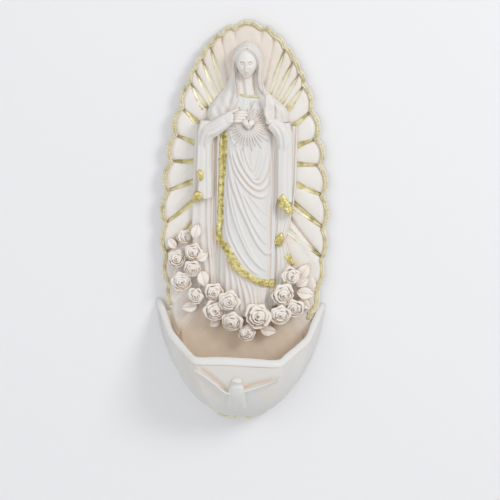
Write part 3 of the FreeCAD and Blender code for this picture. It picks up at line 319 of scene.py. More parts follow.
def resin(name, ivory, wash, start, full, corner, cloud):
    """Wiped cast resin. Start and full give how hollow a place is where the wash begins and ends."""
    material, tree, shader = paint(name, {
        "Roughness": 0.52, "Specular IOR Level": 0.35, "Subsurface Weight": 0.12,
        "Subsurface Radius": (1.0, 0.7, 0.5), "Subsurface Scale": 0.0012})
    places = node(tree, "TexCoord", "Object")
    hollow = node(tree, "Attribute", "Fac", attribute_name="wash")
    spread = node(tree, "MapRange", "Result", {"Value": hollow, "From Min": start, "From Max": full},
                  interpolation_type="SMOOTHSTEP")
    # Painted shade with the wash: where the ambient occlusion finds a near surface, the colour darkens
    # towards the wash colour, by up to the corner share.
    corners = node(tree, "AmbientOcclusion", "AO", {"Distance": 0.0045}, samples=6)
    dark = node(tree, "MapRange", "Result",
                {"Value": corners, "From Min": 0.95, "From Max": 0.30, "To Max": corner},
                interpolation_type="SMOOTHSTEP")
    clouds = node(tree, "TexNoise", "Fac", {"Vector": places, "Scale": 95, "Detail": 4})
    drift = node(tree, "MapRange", "Result",
                 {"Value": clouds, "From Min": 0.35, "From Max": 0.75, "To Max": cloud})
    both = node(tree, "Math", "Value", {0: spread, 1: dark}, operation="ADD")
    every = node(tree, "Math", "Value", {0: both, 1: drift}, operation="ADD", use_clamp=True)
    colour = node(tree, "Mix", "Result", {"A": (*ivory, 1), "B": (*wash, 1), "Factor": every},
                  data_type="RGBA")
    # Pooled wash with painted shade, from the piece's second mask.
    wash_and_shade_share = node(tree, "Attribute", "Fac", attribute_name="pooled_wash_shade_and_bare_gold")
    washed_and_shaded = node(tree, "Mix", "Result", {"A": colour, "B": (*POOLED_WASH_AND_SHADE, 1), "Factor": wash_and_shade_share},
                   data_type="RGBA")
    grain = node(tree, "TexNoise", "Fac", {"Vector": places, "Scale": 1400, "Detail": 5})
    bump = node(tree, "Bump", "Normal", {"Height": grain, "Strength": 0.25, "Distance": 0.00012})
    feed(tree, shader, {"Base Color": washed_and_shaded, "Normal": bump})
    return material


IVORY = (0.785, 0.762, 0.728)
WARM = (0.72, 0.59, 0.49)
plate_resin = resin("plate_resin", (0.835, 0.803, 0.762), (0.79, 0.655, 0.545), 0.48, 1.0, 0.32, 0.20)
figure_resin = resin("figure_resin", IVORY, WARM, 0.54, 1.0, 0.34, 0.10)
dress_resin = resin("dress_resin", (0.755, 0.745, 0.730), WARM, 0.54, 1.0, 0.34, 0.08)
flesh_resin = resin("flesh_resin", (0.82, 0.79, 0.75), WARM, 0.55, 1.0, 0.45, 0.10)
# The garland's warm wash colour is also its painted shade: the high corner share darkens the deep places
# between petals to it.
garland_resin = resin("garland_resin", (0.89, 0.845, 0.785), (0.82, 0.64, 0.50), 0.50, 1.0, 0.50, 0.20)
basin_resin = resin("basin_resin", (0.768, 0.762, 0.735), (0.72, 0.58, 0.46), 0.56, 1.0, 0.30, 0.10)

# %% [markdown]
# The gilding is brushed gold paint. Over the stippled borders it lies on a rough ground, so it
# sparkles in grains. A cell texture gives the grains, and a noise lets the paint go thin and
# brown between them. Paint is metallic only in part, so it keeps its yellow in soft light. Where
# the brush missed a groove, the second attribute lets the cream of the resin through.

# %% Gold paint

DARK_GOLD, RICH_GOLD, BRIGHT_GOLD = (0.30, 0.24, 0.08), (0.66, 0.56, 0.21), (0.92, 0.84, 0.48)
PALE_DARK, PALE_GOLD, PALE_BRIGHT = (0.38, 0.32, 0.13), (0.66, 0.58, 0.29), (0.86, 0.81, 0.55)
CREAM = (0.84, 0.80, 0.66)


def gold_paint(name, grains, depth, dark, rich, bright, metal):
    """Gold over a stippled ground, with the grains' count to a metre and the depth of its bump."""
    material, tree, shader = paint(name, {"Metallic": metal})
    places = node(tree, "TexCoord", "Object")
    stipple = node(tree, "TexVoronoi", "Distance", {"Vector": places, "Scale": grains}, feature="F1")
    patches = node(tree, "TexNoise", "Fac", {"Vector": places, "Scale": grains * 0.45, "Detail": 6})
    tones = node(tree, "ValToRGB", "Color", {"Fac": patches})
    stops = tones.node.color_ramp.elements
    stops.new(0.46)
    for stop, position, tone in zip(stops, (0.30, 0.46, 0.68), (dark, rich, bright)):
        stop.position, stop.color = position, (*tone, 1)
    bare = node(tree, "Attribute", "Fac", attribute_name="pooled_wash_shade_and_bare_gold")
    worn = node(tree, "Mix", "Result", {"A": tones, "B": (*CREAM, 1), "Factor": bare}, data_type="RGBA")
    shine = node(tree, "MapRange", "Result", {"Value": patches, "To Min": 0.50, "To Max": 0.28})
    bump = node(tree, "Bump", "Normal", {"Height": stipple, "Strength": 0.9, "Distance": depth})
    feed(tree, shader, {"Base Color": worn, "Roughness": shine, "Normal": bump})
    return material


gold_edge_paint = gold_paint("gold_edge_paint", 700, 0.00005, (0.46, 0.39, 0.19), (0.70, 0.63, 0.36),
                             (0.88, 0.83, 0.60), 0.35)
gold_ray_paint = gold_paint("gold_ray_paint", 520, 0.00005, PALE_DARK, PALE_GOLD, PALE_BRIGHT, 0.40)
gold_stippled_paint = gold_paint("gold_stippled_paint", 1100, 0.00028, DARK_GOLD, RICH_GOLD,
                                 BRIGHT_GOLD, 0.60)

# %% [markdown]
# ## Back plate
# The plate's outline is an oval of lobes that meet in inward cusps, and each cusp faces the point
# behind the figure where the rays start. Between two rays the clay is pressed into a cushion.
# A polar sheet suits that: its columns run from the source to the edge, so cusps and valleys
# fall on columns. Columns are packed close to each valley, where the surface bends most.

# %% The scalloped outline

CUSPS = (6, 12, 18, 24, 30, 36, 51, 70.5, 91, 112, 129, 140.5, 148.5, 154.5, 160.5, 166.5, 172.5)
CUSPS = [-angle for angle in reversed(CUSPS)] + list(CUSPS) + [180]
RAY_SOURCE_UP = 28
LOBE_SAG = 0.17
PLATE_HALF_WIDTH, PLATE_HALF_HEIGHT = 41, 96
SLAB_DEPTH, PANEL_DEPTH = 4, 5.6
FIRST_RAY, LAST_RAY = 18, 140.5


def oval_radius(angle):
    """The distance from the rays' source to the plate's oval, in a direction in degrees."""
    turn = np.radians(angle)
    square = (np.sin(turn) / PLATE_HALF_WIDTH) ** 2 + (np.cos(turn) / PLATE_HALF_HEIGHT) ** 2
    half = RAY_SOURCE_UP * np.cos(turn) / PLATE_HALF_HEIGHT ** 2
    rest = (RAY_SOURCE_UP / PLATE_HALF_HEIGHT) ** 2 - 1
    return (-half + np.sqrt(half ** 2 - square * rest)) / square


def from_source(angle, radius):
    turn = np.radians(angle)
    return radius * np.sin(turn), RAY_SOURCE_UP + radius * np.cos(turn)


lobe_edges = [(CUSPS[-1] - 360, CUSPS[0])] + list(zip(CUSPS, CUSPS[1:]))
lobe_chords = []
for first, last in lobe_edges:
    (x1, z1), (x2, z2) = (from_source(angle, oval_radius(angle)) for angle in (first, last))
    lobe_chords.append(math.hypot(x2 - x1, z2 - z1))
print("lobes:", len(lobe_edges), "widest", round(max(lobe_chords), 1), "mm")


def across_lobe(number, share):
    """Direction and outline radius at a share of the way across a lobe."""
    first, last = lobe_edges[number]
    angle = mix(first, last, share)
    before = (lobe_chords[number - 1] + lobe_chords[number]) / 2
    after = (lobe_chords[number] + lobe_chords[(number + 1) % len(lobe_edges)]) / 2
    sag = LOBE_SAG * mix(before, after, share)
    return angle, oval_radius(angle) - sag * (2 * share - 1) ** 2


def bunched(share):
    """Move evenly spread shares towards both ends."""
    return mix(share, 0.5 - 0.5 * np.cos(np.pi * share), 0.75)


# %% The cushioned panels

COLUMNS_PER_LOBE = 22
EDGE_BAND = 2.1


def valley_width(angle, radius):
    """A valley is wide at the figure and closes towards its cusp."""
    return 0.35 + 2.3 * np.clip(1 - radius / (oval_radius(angle) * 0.93), 0, 1)


def panel_surface(u, v):
    lobes = len(lobe_edges)
    number = np.minimum((u * lobes).astype(int), lobes - 1)
    share = bunched(np.clip(u * lobes - number, 0, 1))
    angle, edge, chord = (np.zeros_like(u) for _ in range(3))
    for lobe in range(lobes):
        inside = number == lobe
        angle[inside], edge[inside] = across_lobe(lobe, share[inside])
        chord[inside] = math.radians(lobe_edges[lobe][1] - lobe_edges[lobe][0])
    radius = (edge - 0.25) * v ** 0.8
    x, z = from_source(angle, radius)
    arc = chord * radius
    off_valley = np.minimum(share, 1 - share) * arc
    from_edge = edge - radius
    crown = 1 - (1 - np.clip(off_valley / (0.5 * arc + 1e-6), 0, 1)) ** 2.6
    near_valley = smooth_step(0, 1.0, off_valley / (valley_width(angle, radius) + 0.45))
    rayed = smooth_step(FIRST_RAY - 9, FIRST_RAY - 1, np.abs(angle)) * (np.abs(angle) < LAST_RAY + 4)
    near_edge = smooth_step(EDGE_BAND * 0.8, EDGE_BAND + 2.6, from_edge)
    near_cusp = smooth_step(9, 3, from_edge)
    crown = mix(0.85, crown, np.maximum(rayed, near_cusp))
    depth = PANEL_DEPTH - 0.9 + crown * near_edge
    depth -= (0.35 * near_cusp + 1.05 * rayed) * (1 - near_valley) * smooth_step(0.5, 3, from_edge)
    depth -= 0.5 * (1 - near_edge)
    smooth_low = smooth_step(-33, -42, z)
    depth = mix(depth, PANEL_DEPTH - 0.3, smooth_low * near_edge)
    ripple = 0.10 * np.sin(x * 0.9 + 1.3) * np.sin(z * 0.55) + 0.06 * np.sin(x * 2.1 - z * 1.7)
    depth = np.where(from_edge < 0.8, SLAB_DEPTH + 0.1, depth + ripple * near_edge)
    return x, mix(PANEL_DEPTH - 0.6, depth, smooth_step(3, 8, radius)), z


plate = merge(mould(len(lobe_edges) * COLUMNS_PER_LOBE, 66, panel_surface))


def sink_rectangle(bm, outline, sides, depth, floor):
    """Fill an outline but for a rectangle in it, and carry the rectangle's edges to a floor."""
    left, right, low, high = sides
    corners = [bm.verts.new((x * MM, -depth * MM, z * MM))
               for x, z in ((left, low), (right, low), (right, high), (left, high))]
    inner = [bm.edges.new(pair) for pair in zip(corners, corners[1:] + corners[:1])]
    bmesh.ops.triangle_fill(bm, edges=outline + inner, use_beauty=True, normal=(0, 1, 0))
    return carry(bm, inner, lambda y: -floor * MM)


left, right, _, sheet_back, low, high = box_mm("hanger_plate")
outer_rim = carry(plate, rim(plate), lambda y: 0)
recess = sink_rectangle(plate, outer_rim, (left, right, low, high), 0, sheet_back)
# Behind the keyholes the recess is deeper, so the heads of the wall's screws have room.
HEAD_ROOM, ROOM_HALF, ROOM_BORDER = 2.6, 8, 2
room = sink_rectangle(plate, recess, (-ROOM_HALF, ROOM_HALF, low + ROOM_BORDER, high - ROOM_BORDER),
                      sheet_back, sheet_back + HEAD_ROOM)
bmesh.ops.edgeloop_fill(plate, edges=room)
print("recess for the hanger, mm:", round(right - left), "x", round(high - low))


def under_the_garland(x, depth, z, normals):
    """Pooled wash with painted shade below the roses, where the plate is the bowl's back wall, and a thin
    wash at the top.
    """
    top = 0.50 * smooth_step(50, 76, z) * smooth_step(32, 16, np.abs(x))
    # Painted shade with the wash inside the bowl, under the roses.
    return (smooth_step(-30, -50, z + 0.012 * x ** 2) + top) * (depth > 1)


finish(plate, "scalloped_plate", plate_resin, ["back_plate"], 30, 0.45, under_the_garland)

# %% [markdown]
# The gilded edge is a narrow moulding that follows the scallops: a rounded bead with a fine
# second line inside it. One closed strip is enough, with its rows going round the section and its
# columns going along the outline.

# %% Gilded edge


def oval_outward(angle):
    """The outward direction of the smooth oval, which the moulding's width follows."""
    x, z = from_source(angle, oval_radius(angle))
    away = np.stack([x / PLATE_HALF_WIDTH ** 2, z / PLATE_HALF_HEIGHT ** 2])
    return away / np.hypot(*away)


# Places round the moulding's section: inwards from the outline, and depth.
EDGE_SECTION = [(0.30, 3.6), (0.30, 4.5), (0.45, 5.3), (0.75, 5.65), (1.0, 5.35), (1.2, 5.2), (1.45, 5.65),
                (1.8, 6.0), (2.15, 5.7), (2.3, 5.1), (2.35, 3.8)]


def between_the_beads(x, depth, z, normals):
    """The brush only catches the crests of the moulding, so its groove and flanks stay cream."""
    return 0.9 * smooth_step(5.75, 5.45, depth) * (0.8 + 0.2 * np.sin(x * 0.9 + z * 0.7))


def gilded_strip(name, first, last, nodes, anchor, swelling):
    """The moulding over a span of directions. Swelling widens it, away from an anchor line."""
    def surface(u, v):
        direction = mix(first, last, u)
        wrapped = (direction + 180) % 360 - 180
        edge = np.zeros_like(u)
        for number, (start, end) in enumerate(lobe_edges):
            for shift in (0, 360):
                share = (wrapped + shift - start) / (end - start)
                inside = (share >= 0) & (share <= 1)
                edge[inside] = across_lobe(number, share[inside])[1]
        x, z = from_source(direction, edge)
        outward = oval_outward(direction)
        inset, depth = point_on(curve(EDGE_SECTION, 3), v)
        inset = inset + (inset - anchor) * swelling(direction)
        inset = inset + (0.10 * np.sin(direction * 1.9) + 0.07 * np.sin(direction * 5.3 + 1))
        return x - outward[0] * inset, depth + 0.08 * np.sin(direction * 3.1), z - outward[1] * inset

    strip = slab(int(abs(last - first) * 4), 30, surface, SLAB_DEPTH - 0.5)
    finish(strip, name, gold_edge_paint, nodes, 8, 0.2, between_the_beads)


gilded_strip("gilded_edge", -152.8, 155.5, ["gold_edge_upper"], EDGE_SECTION[0][0],
             lambda direction: np.interp(direction, [140, 147, 152, 155.5], [0, 0.17, 0.35, 0.9]))
FOOT_SWELLING = [(165, 0.4), (170, 0.6), (173.4, 1.40), (176.2, 1.40), (177.2, 0.9), (178.2, 1.75),
                 (184.6, 1.75), (185.8, 0.9), (186.9, 1.65), (189.3, 1.50), (191, 0.4)]
gilded_strip("gilded_foot", 171.5, 190, ["gold_edge_lower"], EDGE_SECTION[-1][0],
             lambda direction: np.interp(direction, *zip(*FOOT_SWELLING)))

# %% [markdown]
# Each ray is a valley filled with gold: wide where it leaves the figure, pointed just inside its
# cusp, with a thin raised border on both sides. A small sheet per ray carries that section, and
# all the rays of a side become one piece.

# %% Gilded rays

FIGURE_EDGE = 25.0      # the mantle's outer edge, from the middle
VEIL_EDGE = 37.0        # the veil's outline, from the rays' source
SWUNG_RAYS = {129: 2.2, 140.5: 6.0}    # degrees by which the two lowest rays of the right side turn down
SWUNG_LIFT = 0.45


def one_ray(angle, lift, swing):
    """A channel with raised borders, pointed short of its cusp. Swing turns its root."""
    turn = math.radians(angle)
    tip = oval_radius(angle) - 4.4 - 1.2 * abs(math.sin(turn * 3))
    root = FIGURE_EDGE / abs(math.sin(turn))
    if abs(angle) < 90:
        root = min(root, VEIL_EDGE)
    hidden = root - 5
    widest = (2.45 if abs(angle) < 40 else 1.55) + 0.20 * math.sin(angle * 1.7)
    narrowing = 0.62 if angle > 110 else 0.85

    def surface(u, v):
        radius = mix(hidden, tip, v)
        half = 0.14 + widest * np.clip((tip - radius) / (tip - root), 0, 1.3) ** narrowing
        side = (u * 2 - 1) * half
        bend = 0.25 * np.sin(v * 3.1 + angle)
        x, z = from_source(angle + swing * (tip - radius) / (tip - root), radius)
        border = bell(np.abs(u * 2 - 1) - 0.80, 0.15)
        channel = bell(u * 2 - 1, 0.5)
        depth = PANEL_DEPTH - 0.55 + lift + 0.40 * border * mix(1, 0.5, v) - 0.30 * channel
        depth -= 0.8 * (np.abs(u * 2 - 1) > 0.97)
        x = x + (side + bend) * math.cos(turn)
        z = z - (side + bend) * math.sin(turn)
        return x, depth, z

    return slab(14, 40, surface, SLAB_DEPTH)


def pale_middle(x, depth, z, normals):
    """The upper rays are gilded on their borders, and thinly between them."""
    return smooth_step(PANEL_DEPTH - 0.08, PANEL_DEPTH - 0.30, depth) * smooth_step(54, 60, z) * 0.8


for label, sign in (("rays_left", -1), ("rays_right", 1)):
    rays = bmesh.new()
    for angle in CUSPS:
        if FIRST_RAY <= angle * sign <= LAST_RAY:
            lift = 0.25 if abs(angle) < 40 else SWUNG_LIFT if angle in SWUNG_RAYS else 0.0
            ray = one_ray(angle, lift, SWUNG_RAYS.get(angle, 0.0))
            rays.from_mesh(as_mesh(ray, "part"))
    finish(rays, "gilded_" + label, gold_ray_paint, [label], 6, 0.15, pale_middle)

# %% [markdown]
# ## Basin
# The bowl is half an octagon against the wall, and it draws in on the way down like a shell. It
# is one sheet that starts at the foot, climbs the outside, turns over at the rim and goes down
# the inside to the floor. Averaging a few neighbouring points round it softens the corners, as
# the wet clay and the mould do. Its rim slopes forward, so each column stops at that slope.

# %% Bowl

RIM_BACK, RIM_FRONT, FOOT = -41, -64, -96.8
REACH = 37
RIM_FALL = (RIM_BACK - RIM_FRONT) / REACH
LIP_THICK = 2.0
RIM_DIP = 2.0
BOWL_CORNERS = [(-42.0, 0, 1.7, 1), (-35.5, 18, 2.1, 3), (-21.5, 37, 3.1, 3),
                (21.5, 37, 3.1, 3), (34.4, 18, 2.1, 3), (39.2, 0, 1.75, 1)]


def draw_in(height, power, floor):
    """How much of its width the bowl still has at a height: 1 at the rim, 0 at the floor."""
    return dome(np.clip((RIM_BACK - height) / (RIM_BACK - floor), 0, 1), power)


def bowl_at(place, height, grow, floor=FOOT):
    """A point of the half octagon: place runs 0 to 5 over its facets."""
    corners = []
    for x, depth, narrow, deep in BOWL_CORNERS:
        wide = abs(x) * draw_in(height, narrow, floor) + grow * (0.6 if abs(x) < 30 else 1)
        out = depth * draw_in(height, deep, floor) + (grow if depth else 0)
        corners.append((math.copysign(1, x) * np.maximum(wide, 0), np.maximum(out, 0)))
    xs = np.stack([corner[0] for corner in corners])
    depths = np.stack([corner[1] for corner in corners])
    run = np.clip(np.floor(place), 0, 4).astype(int)
    share = place - run
    pick = np.arange(place.size)
    return (mix(xs[run, pick], xs[run + 1, pick], share),
            mix(depths[run, pick], depths[run + 1, pick], share))


def soft_bowl(place, height, grow, floor=FOOT):
    spots = [bowl_at(place + shift, height, grow, floor) for shift in (-0.10, -0.05, 0, 0.05, 0.10)]
    return sum(spot[0] for spot in spots) / 5, sum(spot[1] for spot in spots) / 5


def rim_wave(place):
    """The hand-modelled rim isn't quite straight."""
    return 0.30 * np.sin(place * 2.9 + 0.4) + 0.18 * np.sin(place * 5.3 + 2)


def rim_height(place):
    """Where a column of the bowl meets the sloping rim."""
    height = np.full(place.shape, -50.0)
    for _ in range(12):
        depth = soft_bowl(place, height, 0)[1]
        dip = RIM_DIP * np.sin(math.pi * depth / REACH)
        height = RIM_BACK - RIM_FALL * depth - LIP_THICK - dip + rim_wave(place)
    return height


# The hollow pressed over each of the dove's wings: depth, width and line.
WING_GROOVES = [(0.95, 0.85, [(-20.7, -65.9), (-17.4, -67.2), (-13.9, -69.7), (-10.4, -72.5),
                              (-7.3, -75.3), (-5.6, -77.4)]),
                (0.55, 0.9, [(19.7, -69.8), (16.3, -71.2), (12.9, -72.6), (9.4, -73.6), (6.0, -74.9),
                             (3.0, -76.7)])]


def wing_groove(x, z):
    deep = np.zeros_like(x)
    for depth, width, line in WING_GROOVES:
        away, _, along = nearest(x, z, curve(line))
        deep += depth * bell(away, width) * smooth_step(0, 0.3, along)
    return deep


# The sheet's rows, as shares: the outside ends, the rim is crossed, and the inside starts.
OUTSIDE_END, RIM_ROW, INSIDE_START = 0.60, 0.62, 0.64
FLOOR_THICK, WALL_THICK = 5, 3


def bowl_surface(u, v):
    place = u * 5
    top = rim_height(place)
    outside = v < RIM_ROW
    climb = np.clip(v / OUTSIDE_END, 0, 1)
    sink = np.clip((v - INSIDE_START) / (1 - INSIDE_START), 0, 1)
    low, deep = FOOT + 0.02, FOOT + FLOOR_THICK
    up_height = low + (top - low) * (1 - np.cos(climb * math.pi / 2))
    down_height = top + (deep + 0.02 - top) * np.sin(sink * math.pi / 2)
    x1, d1 = soft_bowl(place, up_height, 0)
    x2, d2 = soft_bowl(place, down_height, -WALL_THICK, deep)
    x2, d2 = np.where(sink > 0.999, 0, x2), np.where(sink > 0.999, 0, d2)
    ridge = sum(bell(place - corner, 0.045) for corner in (1, 2, 3, 4))
    grain = 0.10 * np.sin(place * 9 + up_height * 0.35) * np.sin(up_height * 0.22)
    d1 = d1 + (0.35 * ridge + grain) * smooth_step(0, 3, d1) * smooth_step(FOOT, FOOT + 6, up_height)
    d1 = d1 - wing_groove(x1, up_height) * (d1 > 20)
    x = np.where(outside, x1, x2)
    d = np.where(outside, d1, d2)
    return np.where(v <= 0, 0, x), np.where(v <= 0, 0, d), np.where(outside, up_height, down_height)


def close_at_wall(bm):
    """Merge the two poles and close the ring that the sheet leaves on the wall."""
    merge(bm)
    bmesh.ops.edgeloop_fill(bm, edges=rim(bm))
    return bm


BACK_DROP = 3.0         # the back's top lies this far under the rim, clear of the lip's ends
BACK_OVERLAP = 5        # the back reaches this far in behind the plate's edge


def bowl_back(bm):
    """The bowl's own back at the wall, as thick as the plate's slab, which it meets."""
    levels = np.linspace(0, 1, 40)
    for side, place in ((-1, 0.0), (1, 5.0)):
        at = np.full(levels.shape, place)
        top = float(rim_height(np.array([place]))[0]) - BACK_DROP
        height = mix(FOOT + 3, top, levels)
        outer = np.abs(soft_bowl(at, height, -1)[0])
        plate_edge = PLATE_HALF_WIDTH * np.sqrt(1 - (height / PLATE_HALF_HEIGHT) ** 2)
        inner = np.clip(plate_edge - BACK_OVERLAP, 0, outer - 0.5)
        rings = [[bm.verts.new((side * x * MM, -depth * MM, z * MM)) for x, depth in
                  ((far, 0.05), (near, 0.05), (near, SLAB_DEPTH - 0.1), (far, SLAB_DEPTH - 0.1))]
                 for far, near, z in zip(outer, inner, height)]
        for low, high in zip(rings[:-1], rings[1:]):
            for corner in range(4):
                after = (corner + 1) % 4
                bm.faces.new((low[corner], low[after], high[after], high[corner]))
        bm.faces.new(rings[0])
        bm.faces.new(rings[-1])
    return bm


bowl = bowl_back(close_at_wall(mould(150, 110, bowl_surface)))
bmesh.ops.recalc_face_normals(bowl, faces=bowl.faces)
print("rim at the front, mm:", round(float(rim_height(np.array([2.5]))[0]), 1))


def inside_bowl(x, depth, z, normals):
    """Pooled wash with painted shade on the inner side, whose faces look towards the wall or up, and in the
    dove's wing grooves; the front facet is also darker along its edges and, thinly, above its foot.
    """
    inner = (normals[0] * x - normals[1] * depth < 0) | (normals[2] > 0.5)
    corner_x, narrow = BOWL_CORNERS[3][0], BOWL_CORNERS[3][2]
    facet_edge = np.abs(np.abs(x) - corner_x * draw_in(z, narrow, FOOT) + 0.9)
    # Painted shade with the wash in the dove's wing grooves.
    hollow = 1.1 * np.clip(wing_groove(x, z), 0, 0.7) * (depth > 25)
    hollow = np.maximum(hollow, 0.16 * (depth > 25) * smooth_step(-88, -80, z))
    at_edge = 0.38 * bell(facet_edge, 0.45) * (depth > 20) * smooth_step(-90, -84, z)
    return np.where(inner, 1.0, np.maximum(hollow, at_edge))


finish(bowl, "basin_bowl", basin_resin, ["basin_shell"], 8, 0.25, inside_bowl)

# %% Lip

# Places round the lip's section, from under its outside over the top to its inside: outwards, up.
LIP_SECTION = [(-1.4, -0.3), (-0.2, -0.2), (0.15, 0.0), (0.45, 0.4), (0.55, 0.9), (0.45, 1.4), (0.0, 1.9),
               (-0.6, 2.15), (-1.4, 2.2), (-2.1, 2.0), (-2.55, 1.6), (-2.7, 1.1), (-2.65, 0.4), (-2.2, -0.1),
               (-1.4, -0.3)]


def lip_surface(u, v):
    place = u * 5
    out, up = point_on(curve(LIP_SECTION, 4), v)
    height = rim_height(place)
    swell = 1 + 0.04 * np.sin(place * 6.1) + 0.025 * np.sin(place * 11.7 + 1)
    x, depth = soft_bowl(place, height, 0)
    ahead_x, ahead_depth = soft_bowl(place, height, 1)
    way_x, way_d = ahead_x - x, ahead_depth - depth
    length = np.hypot(way_x, way_d) + 1e-9
    way_x, way_d = way_x / length, way_d / length
    hung = RIM_FALL * way_d * out
    return (x + way_x * out * swell, np.maximum(depth + way_d * out * swell, 0),
            height + up * swell * 1.06 - hung)


lip = merge(mould(200, 52, lip_surface))
bmesh.ops.holes_fill(lip, edges=rim(lip))
finish(lip, "basin_lip_band", basin_resin, ["basin_lip"], 10, 0.3)

# %% [markdown]
# ## Dove
# The dove is a low relief pressed on the front facet, so it is modelled as a rise over that
# facet. The body is a closed dome with its head turned down, and each wing a tapered sheet with
# long feather grooves. Its border is pushed back into the bowl, so no gap opens at the edge.

# %% Dove relief


RELIEF_ROOT = 1.6       # how deep a relief's border goes into the bowl


def facet_depth(z):
    return REACH * draw_in(z, 3, FOOT)


def on_facet(name, columns, rows, rule, nodes):
    """A relief on the bowl's front: the rule gives across, rise and up."""
    def surface(u, v):
        x, rise, z = rule(u, v)
        border = (u < 0.001) | (u > 0.999) | (v < 0.001) | (v > 0.999)
        return x, facet_depth(z) + np.where(border, -0.5, rise), z

    relief = close_back(mould(columns, rows, surface), lambda y: y + RELIEF_ROOT * MM)
    finish(relief, name, basin_resin, nodes, 6, 0.22)


def dove_surface(u, v):
    z = mix(-89.4, -71.2, v)
    half = np.interp(v, [0, 0.08, 0.18, 0.38, 0.58, 0.72, 0.82, 0.92, 0.975, 1],
                     [4.6, 5.5, 5.0, 4.4, 4.4, 3.6, 2.7, 2.7, 1.9, 0.35])
    side = u * 2 - 1
    x = side * half - 0.2 - 0.9 * (1 - v) ** 2
    rise = np.interp(v, [0, 0.1, 0.3, 0.55, 0.72, 0.82, 0.92, 1], [0.8, 1.5, 2.1, 2.9, 2.8, 2.2, 2.9, 0.6])
    feathers = 0.30 * np.cos(side * 10) * smooth_step(0.30, 0.1, v)
    breast = 0.16 * np.sin(v * 60) * np.cos(side * 9 + v * 30)
    breast = breast * smooth_step(0.3, 0.5, v) * smooth_step(0.8, 0.6, v)
    beak = 0.8 * np.exp(-((side - 0.15) / 0.22) ** 2 - ((v - 0.90) / 0.03) ** 2)
    return x, rise * dome(side, 2.2) + feathers + breast + beak, z


def wing_rule(sign, lead, trail, bone):
    """The leading edge runs up and out from the shoulder, and feathers hang from it."""
    lead, trail = curve(lead, 8), curve(trail, 8)

    def rule(u, v):
        x, z = between(trail, lead, u, v)
        arm_bone = bone * bell(v - 0.78, 0.22) * mix(1, 0.65, u)
        vane = mix(0.35, 0.75, v)
        quills = 0.14 * np.cos(u * 38 - v * 6) * smooth_step(0.75, 0.45, v)
        scales = 0.12 * np.cos(u * 60) * bell(v - 0.6, 0.1)
        rise = (arm_bone + vane + quills + scales) * smooth_step(1, 0.90, v) * smooth_step(0, 0.55, v) + 0.05
        return sign * x, rise * smooth_step(1.0, 0.94, u), z

    return rule


LEFT_WING = wing_rule(-1, [(1.5, -78.4), (5.6, -78.2), (10.6, -73.7), (16.2, -69.6), (21.0, -66.9)],
                      [(1.5, -84.2), (6.0, -82.6), (11.0, -77.6), (15.8, -73.0), (20.8, -68.6)], 1.7)
RIGHT_WING = wing_rule(1, [(1.5, -77.6), (6.0, -76.0), (11.0, -74.2), (16.4, -72.2), (20.2, -70.4)],
                       [(1.5, -83.6), (6.0, -82.0), (11.0, -78.6), (16.0, -75.2), (20.0, -72.2)], 1.3)
on_facet("dove_on_basin", 34, 110, dove_surface, ["dove_body"])
on_facet("dove_wing_at_left", 110, 44, LEFT_WING, ["dove_wing_left"])
on_facet("dove_wing_at_right", 110, 44, RIGHT_WING, ["dove_wing_right"])

# %% [markdown]
# ## Dress
# The figure stands out of the plate as half a body. Its dress is one surface: a half-round body
# first, then folds added as ridges along drawn lines. The fingers of the left hand and the heart's
# flame and rays later ask the same function how far out the dress is, and the gilded band asks
# how far out the body under it is.

# %% Body under the cloth

DRESS_MIDDLE = 1.0
DRESS_LEVELS = [-46, -20, 0, 21.2, 44.6, 55.4, 60.9, 62.4]
DRESS_HALF = [13.0, 13.3, 12.6, 12.2, 12.8, 10.6, 6.4, 5.4]
DRESS_FULL = [7.2, 7.9, 7.8, 7.5, 7.9, 6.6, 4.9, 4.4]
DRESS_TOP = 61.6
CLOTH = 1.4


def body_depth(x, z):
    half = np.interp(z, DRESS_LEVELS, DRESS_HALF)
    full = np.interp(z, DRESS_LEVELS, DRESS_FULL)
    side = np.clip(np.abs(x - DRESS_MIDDLE) / half, 0, 1)
    return PANEL_DEPTH - 0.6 + full * np.maximum(dome(side, 2.6), 0.42 * (z < DRESS_LEVELS[4]))


# %% Folds of the overdress

